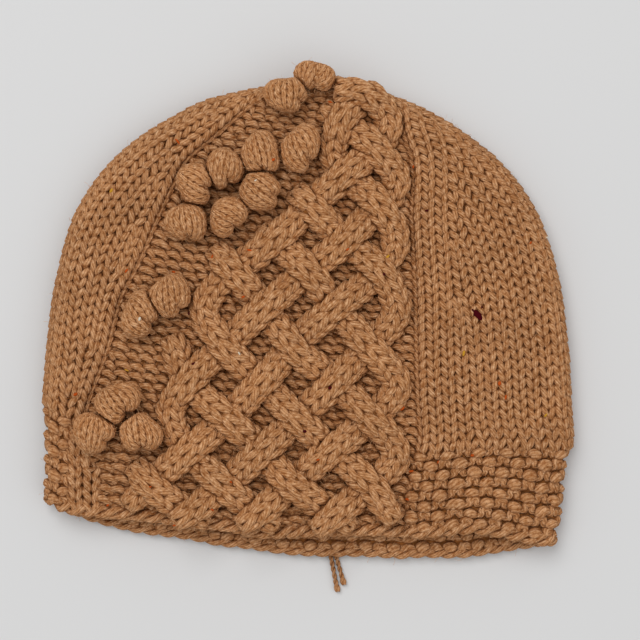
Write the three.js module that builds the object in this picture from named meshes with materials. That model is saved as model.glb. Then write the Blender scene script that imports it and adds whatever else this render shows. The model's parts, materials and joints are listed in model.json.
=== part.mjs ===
import * as THREE from 'three';
import { mergeVertices } from 'three/addons/utils/BufferGeometryUtils.js';

// A knitted hat that lies flat on its back layer, in millimetres.
// X runs to the right, Y from the hem to the crown and Z up from the surface it lies on.

// Driving sizes of the knitted bag
const FOLD_RADIUS = 7.5; // outer radius of the rounded fold at the sides and the crown
const OUTLINE_ROWS = 80; // points on each side of the folded edge
const MERGE_DISTANCE = 1e-4; // points of the wall closer than this are one point
const WALL = 4; // thickness of the knitted fabric
const DOME = 1.5; // rise of the front layer in its middle
const DOME_REACH = 60; // distance from the outline at which the dome is full
const CREASE_DEPTH = 1.6; // depth of the two creases that run up the front
const CREASE_WIDTH = 3.5;
const CREASE_SHARE = 0.15; // the crease takes at most this share of a narrow panel
const CREASE_FADE = 12; // the creases die out this close to the outline

// Driving sizes of the cable ropes
const ROPE_WIDTH = 11;
const ROPE_THICK = 3.4;
const ROPE_GAP = 0.4; // clearance to the fabric and between crossing ropes
const CROSSING_HALF = 6.6; // half of the length over which a rope is level at a crossing
const ROPE_SIDES = 8;
const TURN_STEP = 4.5; // spacing of the sections round a turn at the edge of the lattice
const LEAST_SPACING = 0.2; // sections closer than this to the one before are left out
const ROUTE_SAMPLES = 20; // samples of a rope's route from one stop to the next

// Driving sizes of the bobbles
const BOBBLE_HALF_HEIGHT = 6.2;
const BOBBLE_LIFT = 4.6; // height of a bobble's middle above its base
const BOBBLE_SEAT = 0.4; // clearance between a bobble's base and the fabric
const BOBBLE_FOOT = 0.7; // share of a bobble's size within which its base keeps clear of the fabric
const BOBBLE_GAP = 0.35; // clearance between two bobbles that press on each other
const BOBBLE_SEGMENTS = 12;
const BOBBLE_RINGS = 8;

// Driving sizes of the yarn ends
const YARN_DIAMETER = 2;
const YARN_SIDES = 8;
const YARN_STEPS = 8;

// Sections of the bag from the hem to the crown, one row for each height
const SECTIONS = [
  { y: -101.9, left: -102.0, leftCrease: -92.5, rightCrease: 41.5, right: 106.7 },
  { y: -89.9, left: -108.7, leftCrease: -97.5, rightCrease: 41.5, right: 109.8 },
  { y: -81.3, left: -114.0, leftCrease: -98.4, rightCrease: 41.9, right: 110.8 },
  { y: -68.4, left: -114.3, leftCrease: -98.6, rightCrease: 44.0, right: 111.9 },
  { y: -55.5, left: -114.3, leftCrease: -98.2, rightCrease: 47.0, right: 114.4 },
  { y: -38.3, left: -114.2, leftCrease: -92.8, rightCrease: 46.3, right: 113.6 },
  { y: -16.8, left: -112.5, leftCrease: -85.0, rightCrease: 45.7, right: 112.3 },
  { y: 4.7, left: -110.0, leftCrease: -79.4, rightCrease: 45.3, right: 109.8 },
  { y: 21.9, left: -106.5, leftCrease: -70.8, rightCrease: 44.4, right: 106.1 },
  { y: 39.1, left: -101.4, leftCrease: -63.5, rightCrease: 43.5, right: 100.3 },
  { y: 52.0, left: -94.5, leftCrease: -57.5, rightCrease: 44.0, right: 93.0 },
  { y: 64.9, left: -84.2, leftCrease: -50.6, rightCrease: 43.5, right: 82.2 },
  { y: 75.7, left: -71.3, leftCrease: -37.7, rightCrease: 40.1, right: 68.9 },
  { y: 84.3, left: -57.1, leftCrease: -27.8, rightCrease: 38.4, right: 55.6 },
  { y: 90.7, left: -44.2, leftCrease: -19.7, rightCrease: 36.7, right: 41.8 },
  { y: 95.0, left: -27.0, leftCrease: -14.1, rightCrease: 27.6, right: 29.8 },
  { y: 98.5, left: -6.0, leftCrease: 0.1, rightCrease: 19.9, right: 22.5 },
  { y: 100.6, left: 6.1, leftCrease: 8.7, rightCrease: 14.7, right: 17.3 },
];

// Height of the front and the back layer's hem across the hat
const HEM = [
  { x: -114.0, front: -83.0, back: -83.6 },
  { x: -105.7, front: -86.4, back: -90.7 },
  { x: -85.0, front: -89.0, back: -93.3 },
  { x: -59.2, front: -92.0, back: -98.0 },
  { x: -33.4, front: -94.2, back: -101.9 },
  { x: -20.5, front: -97.0, back: -104.1 },
  { x: 5.3, front: -97.6, back: -105.6 },
  { x: 33.2, front: -97.6, back: -106.2 },
  { x: 56.9, front: -94.6, back: -107.1 },
  { x: 82.7, front: -96.3, back: -104.1 },
  { x: 99.9, front: -98.9, back: -101.3 },
  { x: 108.5, front: -100.8, back: -101.1 },
];

// Spacing of the grid, as shares of each panel's width and of the height above the hem
const LEFT_SHARES = [0, 0.04, 0.12, 0.25, 0.45, 0.72];
const MIDDLE_SHARES = [0.16, 0.33, 0.5, 0.67, 0.84];
const RIGHT_SHARES = [0.25, 0.48, 0.68, 0.84, 0.92, 0.97, 1];
const HEIGHT_SHARES = [
  0, 0.06, 0.13, 0.2, 0.28, 0.36, 0.44, 0.52, 0.6, 0.68,
  0.75, 0.81, 0.865, 0.905, 0.94, 0.965, 0.985, 0.995, 1,
];

// Where two ropes of the lattice cross: one row for each course of crossings, counted from the crown.
// The rope that falls to the right is on top in an even row, the other one in an odd row.
const CROSSINGS = [
  { y: 92.9, x: [24.6] },
  { y: 81.3, x: [14.3] },
  { y: 69.2, x: [29.3] },
  { y: 58.5, x: [16.0] },
  { y: 45.2, x: [1.0, 30.6] },
  { y: 30.1, x: [-14.5, 16.0] },
  { y: 16.8, x: [-31.7, 0.1, 31.1] },
  { y: 1.3, x: [-18.4, 11.7] },
  { y: -15.1, x: [-35.6, -6.3, 25.9] },
  { y: -30.5, x: [-51.1, -19.7, 11.3] },
  { y: -46.0, x: [-34.3, -4.2, 27.2] },
  { y: -59.8, x: [-51.1, -19.7, 9.6] },
  { y: -74.4, x: [-67.0, -35.6, -6.8, 26.8] },
  { y: -86.4, x: [-50.6, -21.4, 11.7] },
];

// Route of each rope from the crown to the hem:
// its start, then crossings as row and place, turns and its end
const ROPES = [
  {
    start: { x: 19.6, y: 94.6, level: 1 },
    route: [
      { row: 0, place: 0 }, { turn: { x: 34.5, y: 81.3 } }, { row: 2, place: 0 }, { row: 3, place: 0 },
      { row: 4, place: 0 }, { row: 5, place: 0 }, { row: 6, place: 0 }, { turn: { x: -44.2, y: 1.5 } },
      { row: 8, place: 0 }, { row: 9, place: 1 }, { row: 10, place: 1 }, { row: 11, place: 2 },
      { row: 12, place: 3 },
    ],
    end: { x: 36.5, y: -88.5 },
  },
  {
    start: { x: 24.9, y: 92.5, half: CROSSING_HALF },
    route: [
      { row: 1, place: 0 }, { turn: { x: 11.2, y: 66.6 } }, { row: 3, place: 0 }, { row: 4, place: 1 },
      { turn: { x: 37.5, y: 30.5 } }, { row: 6, place: 2 }, { row: 7, place: 1 }, { row: 8, place: 1 },
      { row: 9, place: 1 }, { row: 10, place: 0 }, { row: 11, place: 0 }, { row: 12, place: 0 },
    ],
    end: { x: -76.5, y: -82.5 },
  },
  {
    start: { x: 7.4, y: 86.5 },
    route: [
      { row: 1, place: 0 }, { row: 2, place: 0 }, { turn: { x: 38.0, y: 55.5 } }, { row: 4, place: 1 },
      { row: 5, place: 1 }, { row: 6, place: 1 }, { row: 7, place: 0 }, { row: 8, place: 0 },
      { row: 9, place: 0 }, { turn: { x: -58.6, y: -43.0 } }, { row: 11, place: 0 }, { row: 12, place: 1 },
      { row: 13, place: 1 },
    ],
    end: { x: -14.0, y: -91.5 },
  },
  {
    start: { x: -4.6, y: 50.7 },
    route: [
      { row: 4, place: 0 }, { row: 5, place: 1 }, { row: 6, place: 2 }, { turn: { x: 38.0, y: -0.4 } },
      { row: 8, place: 2 }, { row: 9, place: 2 }, { row: 10, place: 1 }, { row: 11, place: 1 },
      { row: 12, place: 1 }, { row: 13, place: 0 },
    ],
    end: { x: -55.5, y: -89.0 },
  },
  {
    start: { x: -19.0, y: 34.6 },
    route: [
      { row: 5, place: 0 }, { row: 6, place: 1 }, { row: 7, place: 1 }, { row: 8, place: 2 },
      { turn: { x: 38.3, y: -31.8 } }, { row: 10, place: 2 }, { row: 11, place: 2 }, { row: 12, place: 2 },
      { row: 13, place: 1 },
    ],
    end: { x: -27.5, y: -91.0 },
  },
  {
    start: { x: -39.5, y: 26.2 },
    route: [
      { row: 6, place: 0 }, { row: 7, place: 0 }, { row: 8, place: 1 }, { row: 9, place: 2 },
      { row: 10, place: 2 }, { turn: { x: 38.0, y: -61.5 } }, { row: 12, place: 3 }, { row: 13, place: 2 },
    ],
    end: { x: 4.0, y: -92.3 },
  },
  {
    start: { x: -58.0, y: -12.0 },
    route: [
      { row: 9, place: 0 }, { row: 10, place: 0 }, { row: 11, place: 1 }, { row: 12, place: 2 },
      { row: 13, place: 2 },
    ],
    end: { x: 18.0, y: -92.3 },
  },
  {
    start: { x: -73.5, y: -66.5 },
    route: [{ row: 12, place: 0 }, { row: 13, place: 0 }],
    end: { x: -44.0, y: -90.0 },
  },
];

// Bobbles: middle, half width across and half height up the hat
const BOBBLES = [
  { x: -81.2, y: -39.1, across: 9.5, up: 8.6 },
  { x: -91.1, y: -52.0, across: 8.2, up: 9.5 },
  { x: -71.3, y: -52.0, across: 9.0, up: 8.6 },
  { x: -71.3, y: -1.7, across: 8.2, up: 9.5 },
  { x: -58.8, y: 6.0, across: 8.6, up: 9.9 },
  { x: -51.5, y: 37.4, across: 8.2, up: 9.0 },
  { x: -47.6, y: 54.2, across: 8.6, up: 8.6 },
  { x: -33.9, y: 40.4, across: 8.4, up: 8.0 },
  { x: -35.6, y: 60.6, across: 7.3, up: 9.5 },
  { x: -20.1, y: 51.2, across: 9.0, up: 9.0 },
  { x: -20.1, y: 66.7, across: 8.6, up: 9.5 },
  { x: -2.9, y: 69.2, across: 8.2, up: 10.3 },
  { x: -8.5, y: 91.6, across: 9.0, up: 8.4 },
  { x: 3.5, y: 97.0, across: 8.6, up: 7.3 },
];

// Routes of the two yarn ends, from the hem outwards
const YARN_ENDS = {
  yarn_end_left: [
    { x: 10.4, y: -106.4, z: 2.2 },
    { x: 11.0, y: -110.0, z: 1.3 },
    { x: 12.2, y: -117.4, z: 1.1 },
    { x: 13.0, y: -122.1, z: 1.1 },
  ],
  yarn_end_right: [
    { x: 12.9, y: -106.5, z: 2.2 },
    { x: 13.8, y: -110.0, z: 1.3 },
    { x: 15.4, y: -116.1, z: 1.1 },
    { x: 16.1, y: -119.1, z: 1.1 },
  ],
};

const wool = new THREE.MeshStandardMaterial({ color: 0x9c6e47, roughness: 0.95, metalness: 0 });
const ropeWool = new THREE.MeshStandardMaterial({ color: 0xa67850, roughness: 0.95, metalness: 0 });
const bobbleWool = new THREE.MeshStandardMaterial({ color: 0xaa7c54, roughness: 0.95, metalness: 0 });
const yarnWool = new THREE.MeshStandardMaterial({ color: 0x96683f, roughness: 0.9, metalness: 0 });

function smooth(from, to, value) {
  const share = Math.min(1, Math.max(0, (value - from) / (to - from)));
  return share * share * (3 - 2 * share);
}

// A named column of a table, at a value of its key column, on a smooth curve through the rows
function lookUp(table, key, column, value) {
  const last = table.length - 1;
  let i = 0;
  while (i < last - 1 && table[i + 1][key] < value) i += 1;
  const slope = (k) => {
    const a = table[Math.max(0, k - 1)];
    const b = table[Math.min(last, k + 1)];
    return (b[column] - a[column]) / (b[key] - a[key]);
  };
  const width = table[i + 1][key] - table[i][key];
  const t = Math.min(1, Math.max(0, (value - table[i][key]) / width));
  const rise = table[i + 1][column] - table[i][column];
  const start = slope(i) * width;
  const end = slope(i + 1) * width;
  const bend = t * t * (3 * rise - 2 * start - end);
  const turn = t * t * t * (start + end - 2 * rise);
  return table[i][column] + t * start + bend + turn;
}

function sectionAt(y) {
  const row = {};
  for (const column of ['left', 'leftCrease', 'rightCrease', 'right']) {
    row[column] = lookUp(SECTIONS, 'y', column, y);
  }
  return row;
}

const HEM_LINE = SECTIONS[0].y;
const CROWN = SECTIONS[SECTIONS.length - 1].y;

// The folded edge seen from above: up the left side, over the crown and down the right side
function outlinePoints() {
  const left = [];
  const right = [];
  for (let i = 0; i <= OUTLINE_ROWS; i += 1) {
    const y = HEM_LINE + (CROWN - HEM_LINE) * Math.sin((i / OUTLINE_ROWS) * (Math.PI / 2));
    const row = sectionAt(y);
    left.push(new THREE.Vector2(row.left, y));
    right.push(new THREE.Vector2(row.right, y));
  }
  return [...left, ...right.reverse()];
}

const OUTLINE = outlinePoints();

// Distance to the folded edge, and the direction to it
function edgeAt(x, y) {
  let best = { distance: Infinity, outX: 0, outY: 1 };
  for (let i = 0; i + 1 < OUTLINE.length; i += 1) {
    const a = OUTLINE[i];
    const b = OUTLINE[i + 1];
    const alongX = b.x - a.x;
    const alongY = b.y - a.y;
    const length2 = alongX * alongX + alongY * alongY;
    const t = Math.min(1, Math.max(0, ((x - a.x) * alongX + (y - a.y) * alongY) / length2));
    const distance = Math.hypot(a.x + t * alongX - x, a.y + t * alongY - y);
    if (distance < best.distance) {
      const length = Math.sqrt(length2);
      best = { distance, outX: -alongY / length, outY: alongX / length };
    }
  }
  return best;
}

// Height above the middle of the fold, and the outward normal, at a distance from the folded edge
function foldAt(edge) {
  const inward = Math.max(0, 1 - edge.distance / FOLD_RADIUS);
  const upward = Math.sqrt(1 - inward * inward);
  return {
    height: FOLD_RADIUS * upward,
    normal: new THREE.Vector3(edge.outX * inward, edge.outY * inward, upward),
  };
}

// What the front layer has on top of the fold's shape: the dome, less the two creases
function frontRelief(x, y, distance) {
  const row = sectionAt(y);
  const fade = smooth(0, CREASE_FADE, distance);
  const dent = (middle) => Math.exp(-(((x - middle) / CREASE_WIDTH) ** 2));
  const creases = CREASE_DEPTH * fade * (dent(row.leftCrease) + dent(row.rightCrease));
  return DOME * smooth(0, DOME_REACH, distance) - creases;
}

function frontHeight(x, y) {
  const edge = edgeAt(x, y);
  return FOLD_RADIUS + foldAt(edge).height + frontRelief(x, y, edge.distance);
}

function columnPositions(row) {
  const { left, leftCrease, rightCrease, right } = row;
  const leftSide = Math.min(CREASE_WIDTH, CREASE_SHARE * (leftCrease - left));
  const inner = Math.min(CREASE_WIDTH, CREASE_SHARE * (rightCrease - leftCrease));
  const rightSide = Math.min(CREASE_WIDTH, CREASE_SHARE * (right - rightCrease));
  const between = (a, b, shares) => shares.map((share) => a + share * (b - a));
  return [
    ...between(left, leftCrease - leftSide, LEFT_SHARES),
    leftCrease - leftSide,
    leftCrease,
    leftCrease + inner,
    ...between(leftCrease + inner, rightCrease - inner, MIDDLE_SHARES),
    rightCrease - inner,
    rightCrease,
    rightCrease + rightSide,
    ...between(rightCrease + rightSide, right, RIGHT_SHARES),
  ];
}

// One point of the bag's wall: on its outer face, and straight through the wall on its inner face
function wallPoint(column, columns, share, layer) {
  const onSide = column === 0 || column === columns - 1;
  const hemX = columnPositions(sectionAt(SECTIONS[1].y))[column];
  const hemFront = lookUp(HEM, 'x', 'front', hemX);
  const hemBack = lookUp(HEM, 'x', 'back', hemX);
  let hem = layer === 'front' ? hemFront : hemBack;
  if (onSide) hem = (hemFront + hemBack) / 2;
  const y = hem + share * (CROWN - hem);
  const x = columnPositions(sectionAt(y))[column];
  const edge = edgeAt(x, y);
  if (onSide || share === 1) edge.distance = 0;
  const { height, normal } = foldAt(edge);
  const outer = new THREE.Vector3(x, y, FOLD_RADIUS);
  if (layer === 'front') {
    outer.z += height + frontRelief(x, y, edge.distance);
  } else {
    outer.z -= height;
    normal.z = -normal.z;
  }
  return { outer, inner: outer.clone().addScaledVector(normal, -WALL) };
}

function bagGeometry() {
  const columns = columnPositions(SECTIONS[0]).length;
  const ring = 2 * (columns - 1);
  const positions = [];
  const indices = [];
  const rows = HEIGHT_SHARES.length;
  const outerAt = (row, k) => 2 * (row * ring + (k % ring));
  const innerAt = (row, k) => outerAt(row, k) + 1;
  for (const share of HEIGHT_SHARES) {
    for (let k = 0; k < ring; k += 1) {
      const front = k < columns;
      const column = front ? k : ring - k;
      const { outer, inner } = wallPoint(column, columns, share, front ? 'front' : 'back');
      positions.push(...outer.toArray(), ...inner.toArray());
    }
  }
  const quad = (a, b, c, d) => indices.push(a, b, c, a, c, d);
  for (let k = 0; k < ring; k += 1) {
    for (let row = 0; row + 1 < rows; row += 1) {
      quad(outerAt(row, k), outerAt(row, k + 1), outerAt(row + 1, k + 1), outerAt(row + 1, k));
      quad(innerAt(row, k), innerAt(row + 1, k), innerAt(row + 1, k + 1), innerAt(row, k + 1));
    }
    quad(outerAt(0, k + 1), outerAt(0, k), innerAt(0, k), innerAt(0, k + 1));
  }
  const geometry = new THREE.BufferGeometry();
  geometry.setAttribute('position', new THREE.Float32BufferAttribute(positions, 3));
  geometry.setIndex(indices);
  return mergeVertices(geometry, MERGE_DISTANCE);
}

// Where a stop of a rope's route is: its own turn, or a crossing of the table
function placeOf(stop) {
  if (stop.turn) return stop.turn;
  const { x, y } = CROSSINGS[stop.row];
  return { x: x[stop.place], y };
}

// The points of a rope's route with their level: 0 on the fabric, 1 on top of another rope
function ropeStops(rope) {
  const { start, route, end } = rope;
  const places = route.map(placeOf);
  const before = [start, ...places];
  const stops = [{ x: start.x, y: start.y, level: start.level ?? 0, half: start.half ?? 0 }];
  places.forEach((place, i) => {
    const fallsRight = place.x > before[i].x;
    const evenRow = route[i].row % 2 === 0;
    const onTop = !route[i].turn && fallsRight === evenRow;
    const half = route[i].turn ? TURN_STEP : CROSSING_HALF;
    stops.push({ x: place.x, y: place.y, level: onTop ? 1 : 0, half });
  });
  stops.push({ x: end.x, y: end.y, level: stops[stops.length - 1].level, half: 0 });
  return stops;
}

// A smooth open curve through points; a point without z lies at z = 0
function curveThrough(points) {
  const corners = points.map(({ x, y, z = 0 }) => new THREE.Vector3(x, y, z));
  return new THREE.CatmullRomCurve3(corners, false, 'centripetal');
}

// Sections along a rope: two at each crossing, with a third in the middle of each turn
function ropeSections(rope) {
  const stops = ropeStops(rope);
  const curve = curveThrough(stops);
  const lengths = curve.getLengths(ROUTE_SAMPLES * (stops.length - 1));
  const total = lengths[lengths.length - 1];
  const sections = [];
  stops.forEach((stop, i) => {
    const middle = lengths[i * ROUTE_SAMPLES];
    const offsets = stop.half === TURN_STEP ? [-stop.half, 0, stop.half] : [-stop.half, stop.half];
    for (const offset of stop.half === 0 ? [0] : offsets) {
      const along = middle + offset;
      const last = sections[sections.length - 1];
      if (along < 0 || along > total || (last && along < last.along + LEAST_SPACING)) continue;
      sections.push({ along, level: stop.level });
    }
  });
  for (const section of sections) {
    const share = section.along / total;
    section.point = curve.getPointAt(share);
    section.tangent = curve.getTangentAt(share);
  }
  return sections;
}

function ropeGeometry(rope) {
  const sections = ropeSections(rope);
  const positions = [];
  const indices = [];
  const halfWidth = ROPE_WIDTH / 2;
  for (const { point, tangent, level } of sections) {
    const sideX = -tangent.y;
    const sideY = tangent.x;
    const grounds = [-halfWidth, 0, halfWidth].map(
      (across) => frontHeight(point.x + across * sideX, point.y + across * sideY),
    );
    const base = Math.max(...grounds) + ROPE_GAP + level * (ROPE_THICK + ROPE_GAP);
    for (let k = 0; k < ROPE_SIDES; k += 1) {
      const angle = ((k + 0.5) / ROPE_SIDES) * 2 * Math.PI;
      const stretch = 1 / Math.cos(Math.PI / ROPE_SIDES);
      const across = halfWidth * Math.cos(angle) * stretch;
      const height = (ROPE_THICK / 2) * (1 + Math.sin(angle) * stretch);
      positions.push(point.x + across * sideX, point.y + across * sideY, base + height);
    }
  }
  const at = (section, k) => section * ROPE_SIDES + (k % ROPE_SIDES);
  const last = sections.length - 1;
  for (let k = 0; k < ROPE_SIDES; k += 1) {
    for (let i = 0; i < last; i += 1) {
      indices.push(at(i, k), at(i, k + 1), at(i + 1, k + 1), at(i, k), at(i + 1, k + 1), at(i + 1, k));
    }
    if (k > 0 && k < ROPE_SIDES - 1) {
      indices.push(at(0, 0), at(0, k + 1), at(0, k));
      indices.push(at(last, 0), at(last, k), at(last, k + 1));
    }
  }
  const geometry = new THREE.BufferGeometry();
  geometry.setAttribute('position', new THREE.Float32BufferAttribute(positions, 3));
  geometry.setIndex(indices);
  return geometry;
}

// The seat of a bobble: a base plane that touches the fabric, and the middle of the ball above it
function bobbleSeat({ x, y, across, up }) {
  const edge = edgeAt(x, y);
  const { normal } = foldAt(edge);
  const footX = BOBBLE_FOOT * across;
  const footY = BOBBLE_FOOT * up;
  const around = [0, 1, 2, 3, 4, 5, 6, 7].map((k) => (k / 4) * Math.PI);
  const heights = around.map((a) => frontHeight(x + footX * Math.cos(a), y + footY * Math.sin(a)));
  const level = edge.distance > FOLD_RADIUS ? Math.max(...heights) : frontHeight(x, y);
  const base = new THREE.Vector3(x, y, level).addScaledVector(normal, BOBBLE_SEAT);
  return { normal, base, middle: base.clone().addScaledVector(normal, BOBBLE_LIFT) };
}

// A ball, flat where it sits on the fabric and where it presses on the bobbles beside it
function bobbleGeometry(bobble, seat, others) {
  const geometry = mergeVertices(bare(new THREE.SphereGeometry(1, BOBBLE_SEGMENTS, BOBBLE_RINGS)));
  const turn = new THREE.Quaternion().setFromUnitVectors(new THREE.Vector3(0, 0, 1), seat.normal);
  const position = geometry.getAttribute('position');
  const point = new THREE.Vector3();
  for (let i = 0; i < position.count; i += 1) {
    point.fromBufferAttribute(position, i);
    const [x, y, z] = point.toArray();
    point.set(x * bobble.across, -z * bobble.up, y * BOBBLE_HALF_HEIGHT).applyQuaternion(turn);
    const depth = point.dot(seat.normal) + BOBBLE_LIFT;
    if (depth < 0) point.addScaledVector(seat.normal, -depth);
    for (const other of others) {
      const toOther = other.middle.clone().sub(seat.middle);
      const reach = toOther.length() / 2 - BOBBLE_GAP / 2;
      toOther.normalize();
      const past = point.dot(toOther) - reach;
      if (past > 0) point.addScaledVector(toOther, -past);
    }
    position.setXYZ(i, point.x, point.y, point.z);
  }
  return geometry;
}

function bare(geometry) {
  geometry.deleteAttribute('normal');
  geometry.deleteAttribute('uv');
  return geometry;
}

function yarnGeometry(points) {
  const section = new THREE.Shape();
  for (let k = 0; k < YARN_SIDES; k += 1) {
    const angle = (k / YARN_SIDES) * 2 * Math.PI;
    const x = (YARN_DIAMETER / 2) * Math.cos(angle);
    const y = (YARN_DIAMETER / 2) * Math.sin(angle);
    if (k === 0) section.moveTo(x, y);
    else section.lineTo(x, y);
  }
  section.closePath();
  const extrudePath = curveThrough(points);
  return new THREE.ExtrudeGeometry(section, { steps: YARN_STEPS, bevelEnabled: false, extrudePath });
}

const hat = new THREE.Group();

function add(name, geometry, material) {
  const mesh = new THREE.Mesh(geometry, material);
  mesh.name = name;
  hat.add(mesh);
  return mesh;
}

add('hat_body', bagGeometry(), wool);

ROPES.forEach((rope, i) => add(`cable_rope_${i + 1}`, ropeGeometry(rope), ropeWool));

const seats = BOBBLES.map(bobbleSeat);
BOBBLES.forEach((bobble, i) => {
  const others = seats.filter((seat, k) => k !== i);
  const mesh = add(`bobble_${i + 1}`, bobbleGeometry(bobble, seats[i], others), bobbleWool);
  mesh.position.copy(seats[i].middle);
});

for (const [name, points] of Object.entries(YARN_ENDS)) {
  add(name, yarnGeometry(points), yarnWool);
}

export default hat;
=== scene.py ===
"""A knitted hat with a lattice of cables and a run of bobbles, lying flat on its back layer.

Lengths in the tables are in millimetres, with X to the right, Y from the hem to the crown and
Z up from the floor. Meshes are made in metres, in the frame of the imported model.
"""
import json
import math

import bpy
import numpy as np
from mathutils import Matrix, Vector
from mathutils.bvhtree import BVHTree

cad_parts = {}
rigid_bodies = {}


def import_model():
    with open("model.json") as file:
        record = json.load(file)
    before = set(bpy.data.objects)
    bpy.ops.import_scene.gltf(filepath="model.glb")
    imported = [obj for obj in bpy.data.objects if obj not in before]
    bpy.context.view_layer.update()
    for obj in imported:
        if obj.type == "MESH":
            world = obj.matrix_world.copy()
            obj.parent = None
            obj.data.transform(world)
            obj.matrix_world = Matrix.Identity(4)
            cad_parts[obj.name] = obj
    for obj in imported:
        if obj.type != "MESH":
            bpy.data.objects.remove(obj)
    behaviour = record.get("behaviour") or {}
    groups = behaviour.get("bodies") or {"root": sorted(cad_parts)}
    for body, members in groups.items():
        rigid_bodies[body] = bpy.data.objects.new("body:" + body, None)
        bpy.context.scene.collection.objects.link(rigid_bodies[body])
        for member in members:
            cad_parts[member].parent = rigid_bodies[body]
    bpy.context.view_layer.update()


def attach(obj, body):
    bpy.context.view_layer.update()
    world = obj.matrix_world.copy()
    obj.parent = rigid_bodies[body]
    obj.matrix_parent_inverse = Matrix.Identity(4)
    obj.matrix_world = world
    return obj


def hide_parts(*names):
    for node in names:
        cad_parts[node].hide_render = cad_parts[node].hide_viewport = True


for leftover in list(bpy.data.objects):
    bpy.data.objects.remove(leftover, do_unlink=True)
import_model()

bl_info = {
    "name": "Knitted Hat with Cables and Bobbles",
    "version": (1, 0, 0),
    "blender": (4, 5, 0),
    "location": "View3D > Sidebar > Knitted Hat",
    "description": "Knits a flat-lying hat stitch by stitch over its packed frame",
    "category": "Add Mesh",
}

MM = 0.001
TURN = 2 * math.pi

# Seeds of the random faults of hand knitting
ROUNDS_SEED, CABLES_SEED, BOBBLES_SEED, FLECKS_SEED = 11, 23, 37, 51

# The bag that the stitches follow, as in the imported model
FOLD_RADIUS = 7.5
DOME = 1.5
DOME_REACH = 60.0
CREASE_DEPTH = 2.8
CREASE_WIDTH = 2.7
CREASE_FADE = 12.0

# Outline and creases of the front, from the hem to the crown: y, left, left crease, right crease, right
SECTIONS = np.array([
    (-101.9, -102.0, -91.5, 41.5, 106.7),
    (-89.9, -108.7, -96.0, 41.5, 109.8),
    (-81.3, -114.0, -96.8, 41.9, 110.8),
    (-68.4, -114.3, -97.0, 44.0, 111.9),
    (-55.5, -114.3, -96.8, 47.0, 114.4),
    (-38.3, -114.2, -92.8, 46.3, 113.6),
    (-16.8, -112.5, -85.0, 45.7, 112.3),
    (4.7, -110.0, -79.4, 45.3, 109.8),
    (21.9, -106.5, -70.8, 44.4, 106.1),
    (39.1, -101.4, -63.5, 43.5, 100.3),
    (52.0, -94.5, -57.5, 44.0, 93.0),
    (64.9, -84.2, -50.6, 43.5, 82.2),
    (75.7, -71.3, -37.7, 40.1, 68.9),
    (84.3, -57.1, -27.8, 38.4, 55.6),
    (90.7, -44.2, -19.7, 36.7, 41.8),
    (95.0, -27.0, -14.1, 27.6, 29.8),
    (98.5, -6.0, 0.1, 19.9, 22.5),
    (100.6, 6.1, 8.7, 14.7, 17.3),
])
LEFT, LEFT_CREASE, RIGHT_CREASE, RIGHT = 1, 2, 3, 4
CROWN = SECTIONS[-1, 0]

# Hem of the front and the back layer: x, front, back
HEM = np.array([
    (-114.0, -83.0, -83.6),
    (-105.7, -86.4, -90.7),
    (-85.0, -89.0, -93.3),
    (-59.2, -92.0, -98.0),
    (-33.4, -94.2, -101.9),
    (-20.5, -97.0, -104.1),
    (5.3, -97.6, -105.6),
    (33.2, -97.6, -106.2),
    (56.9, -94.6, -107.1),
    (82.7, -96.3, -104.1),
    (99.9, -98.9, -101.3),
    (108.5, -100.8, -101.1),
])
FRONT, BACK = 1, 2

# Where the decreases of the back layer run: y, left line, right line
BACK_LINES = np.array([
    (-106.0, -38.0, 40.0),
    (-60.0, -38.0, 40.0),
    (0.0, -37.0, 39.0),
    (40.0, -32.0, 35.0),
    (75.0, -17.0, 25.0),
    (92.0, -4.0, 19.0),
    (CROWN, 9.5, 14.0),
])

# Where two cables cross: y of each course of crossings, and the x of each crossing in it.
# The cable that falls to the right is on top in an even course, the other one in an odd course.
CROSSINGS = [
    (92.9, [24.6]),
    (81.3, [14.3]),
    (69.2, [29.3]),
    (58.5, [16.0]),
    (45.2, [1.0, 30.6]),
    (30.1, [-14.5, 16.0]),
    (16.8, [-31.7, 0.1, 31.1]),
    (1.3, [-18.4, 11.7]),
    (-15.1, [-35.6, -6.3, 25.9]),
    (-30.5, [-51.1, -19.7, 11.3]),
    (-46.0, [-34.3, -4.2, 27.2]),
    (-59.8, [-51.1, -19.7, 9.6]),
    (-74.4, [-67.0, -35.6, -6.8, 26.8]),
    (-86.4, [-50.6, -21.4, 11.7]),
]

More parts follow.
